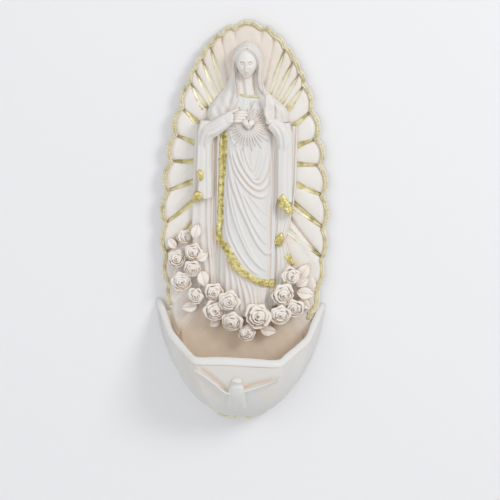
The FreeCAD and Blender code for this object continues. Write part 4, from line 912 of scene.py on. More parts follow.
# Each row: places (across, up), width, height, lean.
DRAPE_FOLDS = [
    ([(-6.1, 35.4), (-3.9, 28.5), (-0.5, 22.7), (3.5, 18.1), (7.3, 16.2), (10.1, 17.4), (12.7, 22.4)],
     0.85, 1.0, 0.35),
    ([(-4.3, 37.1), (-1.3, 29.0), (2.3, 23.0), (5.7, 19.5), (8.6, 20.4), (11.1, 25.5), (12.1, 33.8)],
     0.75, 0.9, 0.3),
    ([(-7.3, 36.1), (-5.1, 26.5), (-1.4, 19.8), (3.7, 14.5), (8.5, 12.5), (12.9, 14.2)], 0.8, 0.85, 0.35),
    ([(-2.1, 37.1), (0.3, 28.2), (3.7, 22.4), (6.0, 21.9), (8.4, 26.7), (9.9, 34.8)], 0.6, 0.65, 0.2),
    ([(-0.5, 37.1), (1.5, 29.9), (4.4, 24.5)], 0.55, 0.5, 0.0),
    ([(7.7, 36.2), (6.7, 29.9), (5.3, 24.7)], 0.55, 0.5, 0.0),
    ([(3.1, 35.8), (3.6, 29.9), (4.8, 24.7)], 0.5, 0.35, 0.0),
    ([(-8.1, 33.6), (-6.5, 21.6), (-2.7, 10.5), (2.3, -0.4), (6.7, -9.3), (10.9, -14.6), (13.2, -14.6),
      (13.7, -10.4)], 0.95, 1.0, 0.4),
    ([(-5.1, 23.1), (-1.2, 13.3), (2.4, 3.9), (6.5, -4.0), (10.7, -9.8), (13.5, -10.1)], 0.75, 0.75, 0.4),
    ([(-7.8, 25.6), (-7.2, 14.3), (-4.8, 3.1), (-0.8, -7.2), (4.4, -16.8), (11.1, -23.6)], 0.8, 0.8, 0.4),
    ([(-6.5, 15.9), (-2.8, 1.5), (2.4, -11.2), (8.3, -20.9), (13.6, -24.9)], 0.7, 0.65, 0.4),
    ([(-8.5, 14.0), (-7.1, -1.7), (-2.6, -12.9), (3.9, -22.1), (9.9, -26.2)], 0.7, 0.7, 0.4),
    ([(-9.1, 25.1), (-9.3, 5.3), (-7.9, -6.4), (-3.7, -15.0), (1.1, -20.9)], 0.6, 0.5, 0.3),
    ([(-0.9, 15.4), (3.5, 7.5), (8.1, 0.4), (12.8, -3.9)], 0.6, 0.5, 0.4),
    ([(2.1, 13.7), (6.3, 8.7), (10.3, 4.7), (13.1, 3.0)], 0.5, 0.4, 0.3),
    ([(12.2, 39.7), (12.6, 26.1), (12.7, 14.2), (12.3, -1.8), (13.1, -14.6)], 0.65, 0.7, 0.0),
    ([(13.4, 39.5), (13.8, 18.9), (13.9, -5.2), (14.0, -25.4)], 0.5, 0.5, 0.0),
    ([(-7.4, 44.1), (-5.7, 38.7), (-2.9, 36.4)], 0.6, 0.45, 0.0),
    ([(-2.5, 59.7), (-4.1, 55.3), (-7.1, 51.0)], 0.55, 0.45, 0.0),
    ([(-0.1, 59.5), (-0.5, 55.9), (-1.9, 53.0)], 0.5, 0.30, 0.0),
    ([(4.9, 59.1), (6.7, 55.7), (7.9, 50.5)], 0.55, 0.40, 0.0),
    ([(2.9, 59.5), (3.5, 56.6), (4.1, 53.9)], 0.45, 0.25, 0.0),
    ([(-8.7, 57.8), (-7.9, 53.4), (-9.1, 49.3)], 0.7, 0.5, 0.0),
]
HEM_LINE = curve([(-13.3, -7.9), (-11.1, -10.6), (-6.9, -15.0), (-3.5, -20.9), (0.9, -24.7), (6.5, -27.9),
                  (11.5, -29.7), (16.1, -30.4)], 6)


def hem_height(x):
    return np.interp(x, HEM_LINE[:, 0], HEM_LINE[:, 1])


WIDER, LOWER = 1.1, 0.8     # what the clay makes of the drawn folds


def drape(x, z, folds):
    """Overlapping folds don't stack up: the highest one shows, and the rest fill a little."""
    highest = np.zeros_like(x)
    total = np.zeros_like(x)
    for points, width, height, lean in folds:
        one = fold(x, z, points, width * WIDER, height * LOWER, lean)
        highest = np.maximum(highest, one)
        total += one
    return highest + 0.15 * (total - highest)


def dress_depth(x, z):
    folds = drape(x, z, DRAPE_FOLDS) * smooth_step(15.2, 12.8, np.abs(x - DRESS_MIDDLE))
    return body_depth(x, z) + CLOTH + folds


def overdress_surface(u, v):
    x = mix(-13.2, 16.6, u)
    z = mix(hem_height(x) - 0.6, DRESS_TOP, v)
    half = np.interp(z, DRESS_LEVELS, DRESS_HALF) + 3.2
    x = np.clip(x, DRESS_MIDDLE - half, np.minimum(DRESS_MIDDLE + half, np.interp(z, [8, 14], [15.2, 16.6])))
    depth = dress_depth(x, z)
    depth -= 1.2 * smooth_step(1.4, 0, z - hem_height(x)) + 1.2 * smooth_step(DRESS_TOP - 0.8, DRESS_TOP, z)
    return x, depth, z


finish(slab(170, 330, overdress_surface, SLAB_DEPTH), "overdress_draped", dress_resin, ["overdress"],
       10, 0.16)
print("folds on the overdress:", len(DRAPE_FOLDS))

# %% Folds of the tunic

TUNIC_FOLDS = [
    ([(-10.5, -12.4), (-10.7, -28.3), (-10.1, -45.2)], 0.8, 0.9, 0.0),
    ([(-8.3, -13.4), (-7.9, -24.3), (-7.1, -45.2)], 0.8, 1.0, 0.2),
    ([(-6.1, -18.3), (-4.9, -28.3), (-3.3, -45.2)], 0.75, 0.95, 0.2),
    ([(-3.7, -22.3), (-1.7, -31.2), (0.1, -45.2)], 0.7, 0.8, 0.2),
    ([(-1.3, -25.3), (1.5, -35.2), (3.1, -45.2)], 0.75, 0.95, 0.2),
    ([(1.7, -27.3), (4.5, -36.2), (5.7, -45.2)], 0.65, 0.8, 0.2),
    ([(5.1, -28.3), (6.5, -37.2), (7.3, -45.2)], 0.7, 0.9, 0.0),
    ([(8.1, -28.8), (8.4, -37.2), (8.8, -45.2)], 0.6, 0.7, 0.0),
    ([(11.9, -29.3), (10.9, -37.2), (10.3, -45.2)], 0.75, 0.9, 0.0),
    ([(14.1, -29.3), (13.4, -38.2), (12.9, -45.2)], 0.6, 0.7, 0.0),
]


def tunic_surface(u, v):
    x = mix(-12.4, 14.6, u)
    z = mix(-46.0, hem_height(x) + 4, v)
    return x, body_depth(x, z) + 0.1 + drape(x, z, TUNIC_FOLDS), z


finish(slab(150, 110, tunic_surface, SLAB_DEPTH), "tunic_skirt", figure_resin, ["tunic"], 10, 0.18)

# %% [markdown]
# ## Mantle and sleeves
# The mantle hangs open on both sides of the dress in straight heavy folds, and the wide sleeves
# hang in front of it. Both are sheets with ridges from top to bottom. A hem that drops and rises
# with the folds keeps the lower edge from looking cut with a knife.

# %% Mantle sides


def hanging(outer, inner, top, foot, rise, folds, hem, waves):
    """A rule for a hanging strip: its edges as (height, across) pairs, and its folds."""
    outer, inner = np.array(outer, float), np.array(inner, float)

    def rule(u, v):
        z = mix(foot + hem * np.sin(u * 6.3 * waves + 1), top, v)
        left, right = (np.interp(z, edge[::-1, 0], edge[::-1, 1]) for edge in (outer, inner))
        x = mix(left, right, u)
        depth = PANEL_DEPTH - 0.4 + rise * mix(0.55, 1, dome(u * 2 - 1, 6))
        for share_top, share_foot, width, height in folds:
            sway = 0.015 * np.sin(v * 9 + share_top * 20)
            centre = mix(left, right, mix(share_foot, share_top, v) + sway)
            depth += height * np.exp(-((x - centre) / width) ** 2 * 1.3)
        return x, depth, z

    return rule


MANTLE = {
    "left": hanging([(45.6, -24.1), (19.2, -24.9), (-0.6, -25.1), (-12.4, -24.7), (-24.3, -22.1),
                     (-41.2, -21.0)],
                    [(45.6, -12.5), (19.2, -12.5), (-0.6, -12.6), (-20.3, -11.7), (-41.2, -10.9)],
                    46, -41, 2.6,
                    [(0.07, 0.06, 1.2, 0.7), (0.34, 0.40, 1.3, 0.6), (0.60, 0.64, 0.9, 0.9),
                     (0.76, 0.78, 0.55, 0.7), (0.92, 0.92, 0.6, 1.0)], 0.5, 1.7),
    "right": hanging([(45.6, 24.8), (19.2, 24.7), (7.3, 23.7), (-0.6, 22.1), (-9.4, 20.1),
                      (-15.3, 22.1), (-21.3, 23.1), (-41.2, 21.5)],
                     [(45.6, 14.9), (19.2, 14.9), (-8.4, 14.3), (-25.3, 13.9), (-41.2, 13.7)],
                     46, -41, 2.6,
                     [(0.05, 0.06, 0.6, 0.9), (0.22, 0.24, 0.7, 0.8), (0.45, 0.48, 1.1, 0.7),
                      (0.72, 0.70, 0.8, 0.8), (0.92, 0.92, 0.6, 1.0)], 0.5, 1.7),
}
for side, rule in MANTLE.items():
    finish(slab(90, 200, rule, SLAB_DEPTH), "mantle_at_" + side, figure_resin, ["mantle_" + side], 12, 0.25)

# %% Hanging sleeves

SLEEVES = {
    "left": hanging([(47.5, -21.5), (42.6, -22.7), (25.1, -23.1), (19.2, -21.9), (11.3, -22.9),
                     (9.3, -22.7)],
                    [(47.5, -14.5), (40.7, -15.8), (25.1, -15.4), (11.3, -14.9), (9.3, -14.9)],
                    48, 11.4, 7.9,
                    [(0.08, 0.08, 1.0, 0.55), (0.42, 0.40, 1.5, 0.35), (0.74, 0.72, 0.8, 0.5),
                     (0.93, 0.93, 0.5, 0.8)], 0.5, 1.0),
    "right": hanging([(47.5, 21.3), (42.6, 22.5), (25.1, 22.9), (13.3, 23.1), (4.3, 23.1)],
                     [(47.5, 14.5), (40.7, 15.4), (25.1, 15.7), (12.3, 16.0), (4.3, 17.9)],
                     48, 8.8, 7.7,
                     [(0.06, 0.05, 0.7, 0.6), (0.24, 0.23, 0.6, 0.25), (0.58, 0.60, 1.6, 0.4),
                      (0.93, 0.93, 0.7, 0.5)], 1.6, 0.5),
}
for side, rule in SLEEVES.items():
    finish(slab(80, 170, rule, PANEL_DEPTH + 1.5), "sleeve_at_" + side, figure_resin, ["sleeve_" + side],
           12, 0.25)

# %% [markdown]
# ## Arms
# The sleeve is drawn round the forearm and falls from it, so arm and sleeve read as one bent
# cloth. The forearm is half a tapered tube that starts low and wide over the hanging sleeve and
# narrows to the wrist. Soft creases fan from the bend, and its mouth is a thin rolled edge.

# %% Forearms


def arm(name, line, depths, radii, deep, creases, nodes):
    """Half a tube along a line: its middle depths, its half widths and how far it stands out."""
    spine = spine_of(line, 10)
    rows = [(np.linspace(0, 1, len(row)), row) for row in (depths, radii, deep)]

    def rule(u, v):
        x0, z0, tx, tz = spine(u)
        depth0, radius, out = (np.interp(u, *row) for row in rows)
        side = v * 2 - 1
        folds = creases * np.cos(side * 9 + u * 6.0) * smooth_step(1.0, 0.55, u) * smooth_step(0, 0.2, u)
        mouth = 0.35 * bell(u - 0.96, 0.025) - 0.9 * smooth_step(0.975, 1.0, u)
        across = side * radius
        return x0 - tz * across, depth0 + (out + folds + mouth) * dome(side, 2.3), z0 + tx * across

    finish(slab(90, 60, rule, PANEL_DEPTH + 1), name, figure_resin, nodes, 10, 0.25)


arm("sleeved_arm_left",
    [(-18.9, 30.0), (-19.0, 37.5), (-17.7, 42.3), (-14.2, 44.8), (-10.6, 47.6), (-7.4, 49.9)],
    [10.6, 11.2, 12.0, 13.0, 13.8, 14.0], [3.3, 3.5, 3.8, 3.7, 3.5, 3.0], [1.2, 2.8, 3.8, 3.6, 3.0, 2.4],
    0.30, ["forearm_left"])
arm("sleeved_arm_right", [(18.6, 30.0), (18.7, 38.0), (17.2, 43.6), (14.4, 46.7), (11.9, 48.2)],
    [10.6, 11.1, 11.8, 12.6, 13.2], [3.2, 3.4, 3.7, 3.5, 2.7], [1.2, 3.0, 3.6, 3.3, 2.4],
    0.26, ["forearm_right"])

# %% [markdown]
# ## Hands
# Fingers are joined to a palm with no seam. So the fingers, thumb and palm start as separate
# tapered tubes, a voxel remesh fuses them into one skin, and a little smoothing softens the
# joints between them. Four fingers lie side by side against each other, as in the casting.

# %% Fusing helper


def add_tube(bm, places, radii):
    """A tapered round tube through places (across, depth, up), with round ends and joints."""
    spots = [Vector((x, -depth, z)) * MM for x, depth, z in places]
    for a, b, foot, tip in zip(spots, spots[1:], radii, radii[1:]):
        way = (b - a).to_track_quat("Z", "Y").to_matrix().to_4x4()
        bmesh.ops.create_cone(bm, cap_ends=True, segments=16, radius1=foot * MM, radius2=tip * MM,
                              depth=(b - a).length, matrix=Matrix.Translation((a + b) / 2) @ way)
        for end, radius in ((a, foot), (b, tip)):
            bmesh.ops.create_uvsphere(bm, u_segments=16, v_segments=10, radius=radius * MM,
                                      matrix=Matrix.Translation(end))


VOXEL, SOFTENING = 0.15, 5      # of the fused skin: its grain in mm, and its rounds of smoothing


def fused(bm):
    """Fuse overlapping closed shapes into one skin."""
    maker = add_object("loose", as_mesh(bm, "loose"))
    skin = maker.modifiers.new("skin", "REMESH")
    skin.mode = "VOXEL"
    skin.voxel_size = VOXEL * MM
    soft = maker.modifiers.new("soft", "SMOOTH")
    soft.factor = 0.5
    soft.iterations = SOFTENING
    solid = bpy.data.meshes.new_from_object(maker.evaluated_get(bpy.context.evaluated_depsgraph_get()))
    bpy.data.objects.remove(maker)
    result = bmesh.new()
    result.from_mesh(solid)
    return result


# %% Hands on the breast


def over_breast(x, z, rise):
    """A place a little over the dress."""
    return x, float(dress_depth(np.array([x]), np.array([z]))[0]) + rise, z


left_hand = bmesh.new()
for root, knuckle, tip in (((-6.4, 52.3), (-2.8, 53.0), (0.3, 52.9)),
                           ((-6.4, 51.0), (-2.7, 51.6), (0.5, 51.5)),
                           ((-6.4, 49.7), (-3.2, 50.2), (-0.4, 50.1)),
                           ((-6.2, 48.5), (-3.9, 48.8), (-1.3, 48.7))):
    add_tube(left_hand, (over_breast(*root, 1.1), over_breast(*knuckle, 1.2), over_breast(*tip, 0.55)),
             (0.86, 0.80, 0.66))
for up in (48.6, 49.9, 51.2):
    add_tube(left_hand, ((-10.0, 15.0, up - 0.8), (-6.2, 15.9, up + 0.3)), (1.15, 1.0))
add_tube(left_hand, ((-8.4, 15.4, 52.0), (-4.8, 16.2, 53.9), (-3.0, 16.0, 54.6)), (0.80, 0.62, 0.45))
finish(fused(left_hand), "hand_over_the_heart", flesh_resin, ["hand_left"], 8, 0.14)

right_hand = bmesh.new()
for root, knuckle, tip in (((10.4, 15.6, 53.6), (10.3, 16.3, 57.6), (10.3, 16.2, 61.0)),
                           ((11.4, 15.6, 53.8), (11.3, 16.3, 58.4), (11.2, 16.2, 61.9)),
                           ((12.4, 15.6, 53.6), (12.3, 16.3, 57.8), (12.1, 16.2, 61.0)),
                           ((13.2, 15.6, 53.2), (13.3, 16.3, 56.6), (13.1, 16.2, 59.2))):
    add_tube(right_hand, (root, knuckle, tip), (0.74, 0.68, 0.48))
for across in (10.9, 11.8, 12.7):
    add_tube(right_hand, ((across + 0.2, 14.6, 48.6), (across, 15.6, 53.6)), (1.15, 0.95))
add_tube(right_hand, ((10.8, 15.8, 50.4), (9.9, 16.4, 53.0), (9.8, 16.8, 55.2)), (0.75, 0.62, 0.48))
add_tube(right_hand, ((11.7, 11.0, 48.4), (11.7, 15.0, 49.0)), (1.9, 1.3))
finish(fused(right_hand), "raised_hand", flesh_resin, ["hand_right"], 8, 0.14)

# %% [markdown]
# ## Veil
# The veil is one long strip: it starts on a shoulder, goes up beside the neck, over the head and
# down to the other shoulder. Its inner edge is rolled forward round the face, and folds run along
# it and spread over the shoulders. So the sheet's rows follow that path, and its columns go from
# the rolled edge out to the outline.

# %% Veil over head and shoulders

VEIL_OUTER = curve([(-18.2, 47.6), (-18.4, 52.6), (-14.6, 58.6), (-10.2, 64.4), (-8.3, 69.0), (-7.0, 75.4),
                    (-5.2, 82.6), (0.3, 86.1), (5.4, 82.8), (7.7, 76.2), (7.6, 69.6), (8.8, 63.8),
                    (13.4, 59.4), (19.2, 54.2), (20.5, 48.2)], 10)
VEIL_INNER = curve([(-7.4, 47.6), (-5.6, 53.6), (-4.6, 58.8), (-4.3, 63.4), (-4.9, 68.6), (-5.4, 74.8),
                    (-4.4, 81.0), (0.2, 84.0), (4.7, 81.2), (5.8, 75.2), (5.6, 68.6), (6.6, 64.2),
                    (9.4, 60.6), (11.6, 54.8), (12.4, 48.2)], 10)


def veil_surface(u, v):
    (ix, iz), (ox, oz) = point_on(VEIL_INNER, v), point_on(VEIL_OUTER, v)
    x, z = mix(ix, ox, u), mix(iz, oz, u)
    up = np.abs(v * 2 - 1)
    shoulder = smooth_step(0.55, 0.95, up)
    rise = np.interp(up, [0, 0.25, 0.45, 0.62, 0.8, 1], [7.6, 8.2, 7.4, 6.6, 7.2, 7.0])
    roll = smooth_step(-0.10, 0.10, u) * (1 - 0.12 * smooth_step(0.1, 0.3, u))
    fall = dome(u, mix(2.2, 3.2, shoulder))
    width = np.hypot(ox - ix, oz - iz)
    pleats = 0.34 * np.cos(u * mix(9.5, 15, shoulder) + 0.6 * np.sin(v * 14)) * smooth_step(0.03, 0.18, u)
    pleats *= smooth_step(1.0, 0.75, u) * mix(0.55, 1.0, smooth_step(2, 8, width))
    crossing = 0.22 * np.sin(x * 1.3 + z * 0.9) * shoulder
    depth = PANEL_DEPTH - 0.3 + rise * roll * fall + pleats + crossing * fall
    return x, depth + 0.5 * bell(u - 0.10, 0.07), z


finish(slab(60, 300, veil_surface, SLAB_DEPTH), "veil_over_head", figure_resin, ["veil"], 12, 0.28)

# %% Inside of the veil


def veil_lining(u, v):
    """The cloth behind the head and neck, seen only as a shaded hollow beside them."""
    z = mix(47.0, 84.2, v)
    left = np.interp(z, [47, 56.5, 63, 75, 81, 84.2], [-7.5, -6.2, -5.2, -5.8, -4.8, -0.8])
    right = np.interp(z, [47, 56.5, 63, 75, 81, 84.2], [12.6, 11.8, 8.6, 6.6, 5.6, 1.6])
    side = u * 2 - 1
    neck = smooth_step(66, 58, z)
    depth = 9.4 + mix(2.2, 1.4 + 1.8 * neck, u) * side ** 2 + neck
    return mix(left, right, u), depth + 0.25 * np.cos(side * 11), z


finish(slab(60, 90, veil_lining, SLAB_DEPTH), "veil_lining", figure_resin, ["veil"], 12, 0.28)

# %% [markdown]
# ## Head
# The face is a general one, drawn from the rules in drawing books: the eyes halfway down the head
# and one eye apart, the nose ending halfway from the eyes to the chin, the mouth a third of the
# way below it. It is calm, with lowered lids. A fine sphere is flattened in front and narrowed to
# the chin, and each feature is a soft bump or hollow at its place from those rules.

# %% Face rules

HEAD_MIDDLE = (0.2, 11.4, 76.4)
HEAD_HALF = (5.2, 5.6, 7.5)
EYE_UP, NOSE_END, MOUTH_UP, CHIN_UP = 0.02, -0.47, -0.64, -0.90
# Soft bumps of the face: rise, places aside and up, half width and half height.
FACE_BUMPS = [
    (-1.05, 0.36, EYE_UP + 0.03, 0.22, 0.13),       # eye socket
    (0.34, 0.38, 0.20, 0.26, 0.055),                # brow
    (0.78, 0.37, EYE_UP, 0.155, 0.075),             # eye under its lid
    (0.50, 0.14, NOSE_END + 0.03, 0.07, 0.05),      # side of the nose
    (0.30, 0.0, MOUTH_UP, 0.30, 0.16),              # round of the mouth
    (0.42, 0.06, MOUTH_UP + 0.040, 0.18, 0.035),    # upper lip
    (0.52, 0.0, MOUTH_UP - 0.050, 0.15, 0.042),     # lower lip
    (-0.20, 0.0, MOUTH_UP - 0.125, 0.16, 0.04),     # hollow under it
    (0.45, 0.0, CHIN_UP + 0.02, 0.26, 0.12),        # chin
    (0.30, 0.50, -0.25, 0.26, 0.24),                # cheek
    (0.10, 0.0, 0.42, 0.55, 0.25),                  # forehead
]


def bump_at(x, z, place_x, place_z, wide, tall):
    return np.exp(-((x - place_x) / wide) ** 2 - ((z - place_z) / tall) ** 2)


def face_relief(x, z):
    """Rise of the face over the plain head. x and z run from -1 to 1 over the head's half sizes."""
    side = np.abs(x)
    rise = sum(high * bump_at(side, z, *place) for high, *place in FACE_BUMPS)
    off_eye = side - 0.37
    lid = EYE_UP - 0.045 + 0.10 * (off_eye / 0.2) ** 2
    rise -= 0.42 * bell(z - lid, 0.020) * smooth_step(0.20, 0.12, np.abs(off_eye))
    crease = EYE_UP + 0.085 - 0.9 * off_eye ** 2
    rise -= 0.26 * bell(z - crease, 0.020) * smooth_step(0.22, 0.12, np.abs(off_eye))
    ridge = smooth_step(NOSE_END - 0.05, NOSE_END + 0.03, z) * smooth_step(0.24, 0.0, z)
    height = np.interp(z, [NOSE_END, 0.0, 0.24], [1.55, 0.75, 0.25])
    rise += height * ridge * bell(side, np.interp(z, [NOSE_END, 0.05], [0.125, 0.07]))
    mouth = MOUTH_UP - 0.02 * (side / 0.2) ** 2
    return rise - 0.48 * bell(z - mouth, 0.018) * smooth_step(0.28, 0.17, side)


# %% Head

head = bmesh.new()
bmesh.ops.create_icosphere(head, subdivisions=7, radius=1)
sx, sy, sz = np.array([vertex.co[:] for vertex in head.verts]).T
narrow = 1 - 0.24 * smooth_step(0.0, -1.0, sz) - 0.04 * smooth_step(0.3, 1.0, sz)
flat_front = np.where(sy < 0, np.sign(sy) * np.abs(sy) ** 0.82, sy)
jaw = smooth_step(0.2, -0.95, sz) * np.clip(-sy, 0, 1)
front = smooth_step(0.12, 0.55, -sy)
hy = (flat_front * (1 - 0.06 * smooth_step(0, -1, sz)) + 0.10 * jaw) * HEAD_HALF[1]
hy = hy - face_relief(sx * narrow, sz) * front
set_points(head, sx * narrow * HEAD_HALF[0], -hy, sz * HEAD_HALF[2])
bow = Matrix.Rotation(math.radians(5), 4, "X") @ Matrix.Rotation(math.radians(-2.0), 4, "Y")
place = Matrix.Translation((HEAD_MIDDLE[0] * MM, -HEAD_MIDDLE[1] * MM, HEAD_MIDDLE[2] * MM))
bmesh.ops.transform(head, matrix=place @ bow, verts=head.verts)
finish(head, "head_calm", flesh_resin, ["head"], 14, 0.12)


# %% Neck and gilded neckline


def neck_surface(u, v):
    z = mix(58.4, 72.4, v)
    half = np.interp(v, [0, 0.12, 0.3, 1], [5.0, 4.2, 3.6, 3.5])
    side = u * 2 - 1
    depth = 6.2 + np.interp(v, [0, 0.15, 0.5, 1], [5.6, 5.2, 4.9, 5.4]) * dome(side, 2.2)
    sinews = 0.22 * bell(np.abs(side) - mix(0.16, 0.55, v), 0.14)
    depth += sinews - 0.25 * bump_at(side, v, 0, 0.1, 0.14, 0.06)
    return mix(1.9, 0.5, v) + side * half, depth, z


finish(slab(60, 60, neck_surface, SLAB_DEPTH), "neck_bare", flesh_resin, ["neck"], 10, 0.2)

NECKLINE = spine_of([(-2.8, 60.9), (-0.4, 60.5), (2.4, 60.3), (5.6, 60.5), (9.0, 60.9)], 8)


def neckline_surface(u, v):
    """A rounded narrow strip along the neckline."""
    x0, z0, tx, tz = NECKLINE(u)
    side = (v * 2 - 1) * 0.42
    x, z = x0 - tz * side, z0 + tx * side
    return x, 11.85 - 0.03 * (x - 2.4) ** 2 + 0.4 * dome(v * 2 - 1, 2), z


finish(slab(60, 14, neckline_surface, 10.4), "neckline_gilding", gold_edge_paint, ["neckline_trim"],
       6, 0.15)

# %% [markdown]
# ## Hair
# Between the face and the veil lies wavy hair, parted in the middle. It follows the veil's path,
# so it is the same kind of strip, with six strands that wind round each other.

# %% Strands

HAIR_OUTER = curve([(-5.2, 59.5), (-5.4, 65.6), (-6.2, 72.8), (-5.8, 80.3), (0.3, 84.8), (5.8, 79.9),
                    (6.5, 72.8), (7.2, 65.6), (9.2, 60.2)], 10)
HAIR_INNER = curve([(-2.8, 59.5), (-2.9, 65.2), (-4.2, 72.8), (-3.3, 78.2), (0.3, 81.2), (3.9, 78.2),
                    (4.7, 72.8), (4.4, 65.2), (5.2, 59.5)], 10)


def hair_surface(u, v):
    x, z = between(HAIR_INNER, HAIR_OUTER, v, u)
    up = np.abs(v * 2 - 1)
    base = np.interp(up, [0, 0.15, 0.35, 0.6, 1], [15.6, 15.4, 13.9, 11.6, 11.6])
    crown = dome(u * 2 - 1, 2)
    strands = 0.20 * np.cos(u * 26 + 2.2 * np.sin(v * 31)) + 0.10 * np.cos(u * 47 - 3 * np.sin(v * 23 + 1))
    parting = -0.5 * bell(v - 0.5, 0.008)
    return x, base - 1.5 + 1.6 * crown + strands * crown + parting, z


finish(slab(44, 260, hair_surface, 6.5), "hair_parted", figure_resin, ["hair"], 8, 0.15)

# %% [markdown]
# ## Heart and its rays
# The heart lies on the breast with a twisted band round it and a flame above. Tapered rays lie
# flat on the dress around it, long ones between short ones.

# %% Heart

HEART_X, HEART_UP = 1.8, 47.3


def heart_surface(u, v):
    turn = u * 2 * math.pi
    hx = 16 * np.sin(turn) ** 3
    hz = 13 * np.cos(turn) - 5 * np.cos(2 * turn) - 2 * np.cos(3 * turn) - np.cos(4 * turn)
    x, z = HEART_X + v * hx * 0.185, HEART_UP + v * (hz + 2) * 0.185
    rounded = dome(v, 2.4)
    cleft = -0.5 * bell(x - HEART_X, 0.5) * smooth_step(HEART_UP + 0.4, HEART_UP + 2.2, z)
    off_band = z - HEART_UP - 0.25 * np.sin(x * 3.1)
    band = 0.45 * bell(off_band, 0.42) * (1 + 0.35 * np.cos(x * 7 + off_band * 5))
    return x, 15.1 + 2.3 * rounded + (cleft + band) * rounded, z


finish(slab(120, 26, heart_surface, 13.8, merged=True), "heart_on_breast", flesh_resin, ["heart"], 6, 0.14)

# %% Flame and rays


def blade(bm, turn, start, length, half, lift, bend):
    """A tapered wedge from near the heart outwards, with a ridge along its middle."""
    ux, uz = math.sin(math.radians(turn)), math.cos(math.radians(turn))

    def rule(u, v):
        along = start + length * u
        side = (v * 2 - 1) * half * np.interp(u, [0, 0.25, 1], [0.7, 1.0, 0.14])
        curl = bend * np.sin(u * math.pi)
        x = HEART_X + ux * along + uz * (side + curl)
        z = HEART_UP + uz * along - ux * (side + curl)
        ridge = np.clip(1 - np.abs(v * 2 - 1), 0, 1) ** 0.7
        return x, dress_depth(x, z) + 0.05 + lift * ridge * np.interp(u, [0, 0.3, 1], [1, 1, 0.6]), z

    bm.from_mesh(as_mesh(slab(16, 6, rule, 12.4), "part"))


flame = bmesh.new()
for turn, length, bend in ((-14, 4.0, 0.35), (-4, 5.6, -0.3), (5, 8.6, 0.25), (12, 9.6, -0.2),
                           (20, 6.0, -0.3)):
    blade(flame, turn, 1.9, length, 0.60, 0.9, bend)
finish(flame, "heart_flames", flesh_resin, ["heart_flame"], 5, 0.30)

rays = bmesh.new()
ray_turns = [-72, -58, -44, -30, 32, 43, 55, 67, 79] + list(range(91, 271, 10))
for order, turn in enumerate(ray_turns):
    low = max(0.0, -math.cos(math.radians(turn)))
    right = max(0.0, math.sin(math.radians(turn)))
    length = (6.8 + 3.2 * low + 1.8 * right * low) * (1.0 if order % 2 else 0.80)
    blade(rays, turn, 2.6, length, 0.86, 1.0, 0.0)
print("rays round the heart:", len(ray_turns))
finish(rays, "rays_of_the_heart", figure_resin, ["heart_rays"], 5, 0.32)

# %% [markdown]
# ## Gilded border of the mantle
# The border runs down the dress and across the skirt. The real one is stippled with a pointed
# tool before it is gilded, so the strip carries small pits and an uneven edge.

# %% Hem band

BAND_LEFT = curve([(-11.8, 43.0), (-12.4, 32.5), (-12.4, 18.9), (-12.8, 2.9), (-13.2, -7.5),
                   (-12.1, -11.2), (-8.5, -15.2), (-5.9, -21.2), (-1.0, -25.2), (4.7, -28.4),
                   (10.4, -30.9), (15.1, -31.8)], 12)
BAND_RIGHT = curve([(-8.2, 43.0), (-8.4, 32.5), (-9.3, 18.9), (-9.5, 2.9), (-10.1, -4.5),
                    (-9.1, -8.4), (-5.5, -12.1), (-2.9, -16.6), (0.8, -21.7), (6.3, -25.7),
                    (11.1, -27.3), (15.4, -27.5)], 12)


def pits(x, z):
    """Stipple: small pits in a slightly irregular pattern."""
    a = np.sin(x * 6.1 + 1.7 * np.sin(z * 2.3)) * np.sin(z * 6.7 + 1.9 * np.sin(x * 2.9))
    b = np.sin(x * 9.7 - z * 3.1) * np.sin(z * 10.3 + x * 2.2)
    return 0.16 * a + 0.09 * b


def band_surface(u, v):
    x, z = between(BAND_LEFT, BAND_RIGHT, v, u)
    ragged = 0.05 * np.sin(v * 90) + 0.03 * np.sin(v * 210)
    x = x + ragged * (np.abs(u * 2 - 1) > 0.9) * 3
    rounded = dome(u * 2 - 1, 5)
    middle = body_depth(np.clip(x, -11.4, 13.4), z) + CLOTH
    return x, middle - 0.3 + 0.95 * rounded + pits(x, z) * rounded, z


finish(slab(36, 420, band_surface, SLAB_DEPTH), "gilded_hem_band", gold_stippled_paint,
       ["gold_hem_band"], 6, 0.2)

# %% Turned corners

# Outline, depth and crown of each corner.
CORNERS = [
    ([(-22.7, 22.8), (-21.4, 24.9), (-19.3, 23.4), (-19.8, 19.8), (-21.5, 20.1)], 13.6, 1.0),
    ([(-24.1, 12.9), (-22.1, 14.5), (-19.8, 13.7), (-19.1, 11.7), (-21.1, 10.3), (-24.4, 8.7)], 13.2, 1.3),
    ([(16.2, 10.8), (18.5, 14.5), (20.9, 11.5), (23.2, 7.7), (23.0, 3.9), (19.7, 6.1), (17.1, 8.1)],
     13.0, 1.2),
    ([(14.6, -9.2), (16.4, -6.6), (18.4, -5.0), (19.6, -8.3), (18.2, -11.8), (15.6, -11.0)], 9.2, 1.5),
    ([(19.2, -16.4), (21.9, -15.2), (23.8, -18.4), (24.6, -20.8), (22.2, -20.2), (20.6, -18.2)], 7.6, 1.3),
]


def corner_patch(outline, depth, crown):
    """A small cushion with a drawn outline: rings from its middle to the outline."""
    shape = curve(list(outline) + [outline[0]], 10)
    centre = np.array(outline, float).mean(axis=0)

    def rule(u, v):
        ex, ez = point_on(shape, u)
        x, z = mix(centre[0], ex, v), mix(centre[1], ez, v)
        rounded = dome(v, 3)
        ribs = 0.14 * np.cos(u * 2 * math.pi * 6) * v
        return x, depth + (crown + ribs) * rounded + pits(x, z) * rounded, z

    return slab(72, 16, rule, SLAB_DEPTH, merged=True)


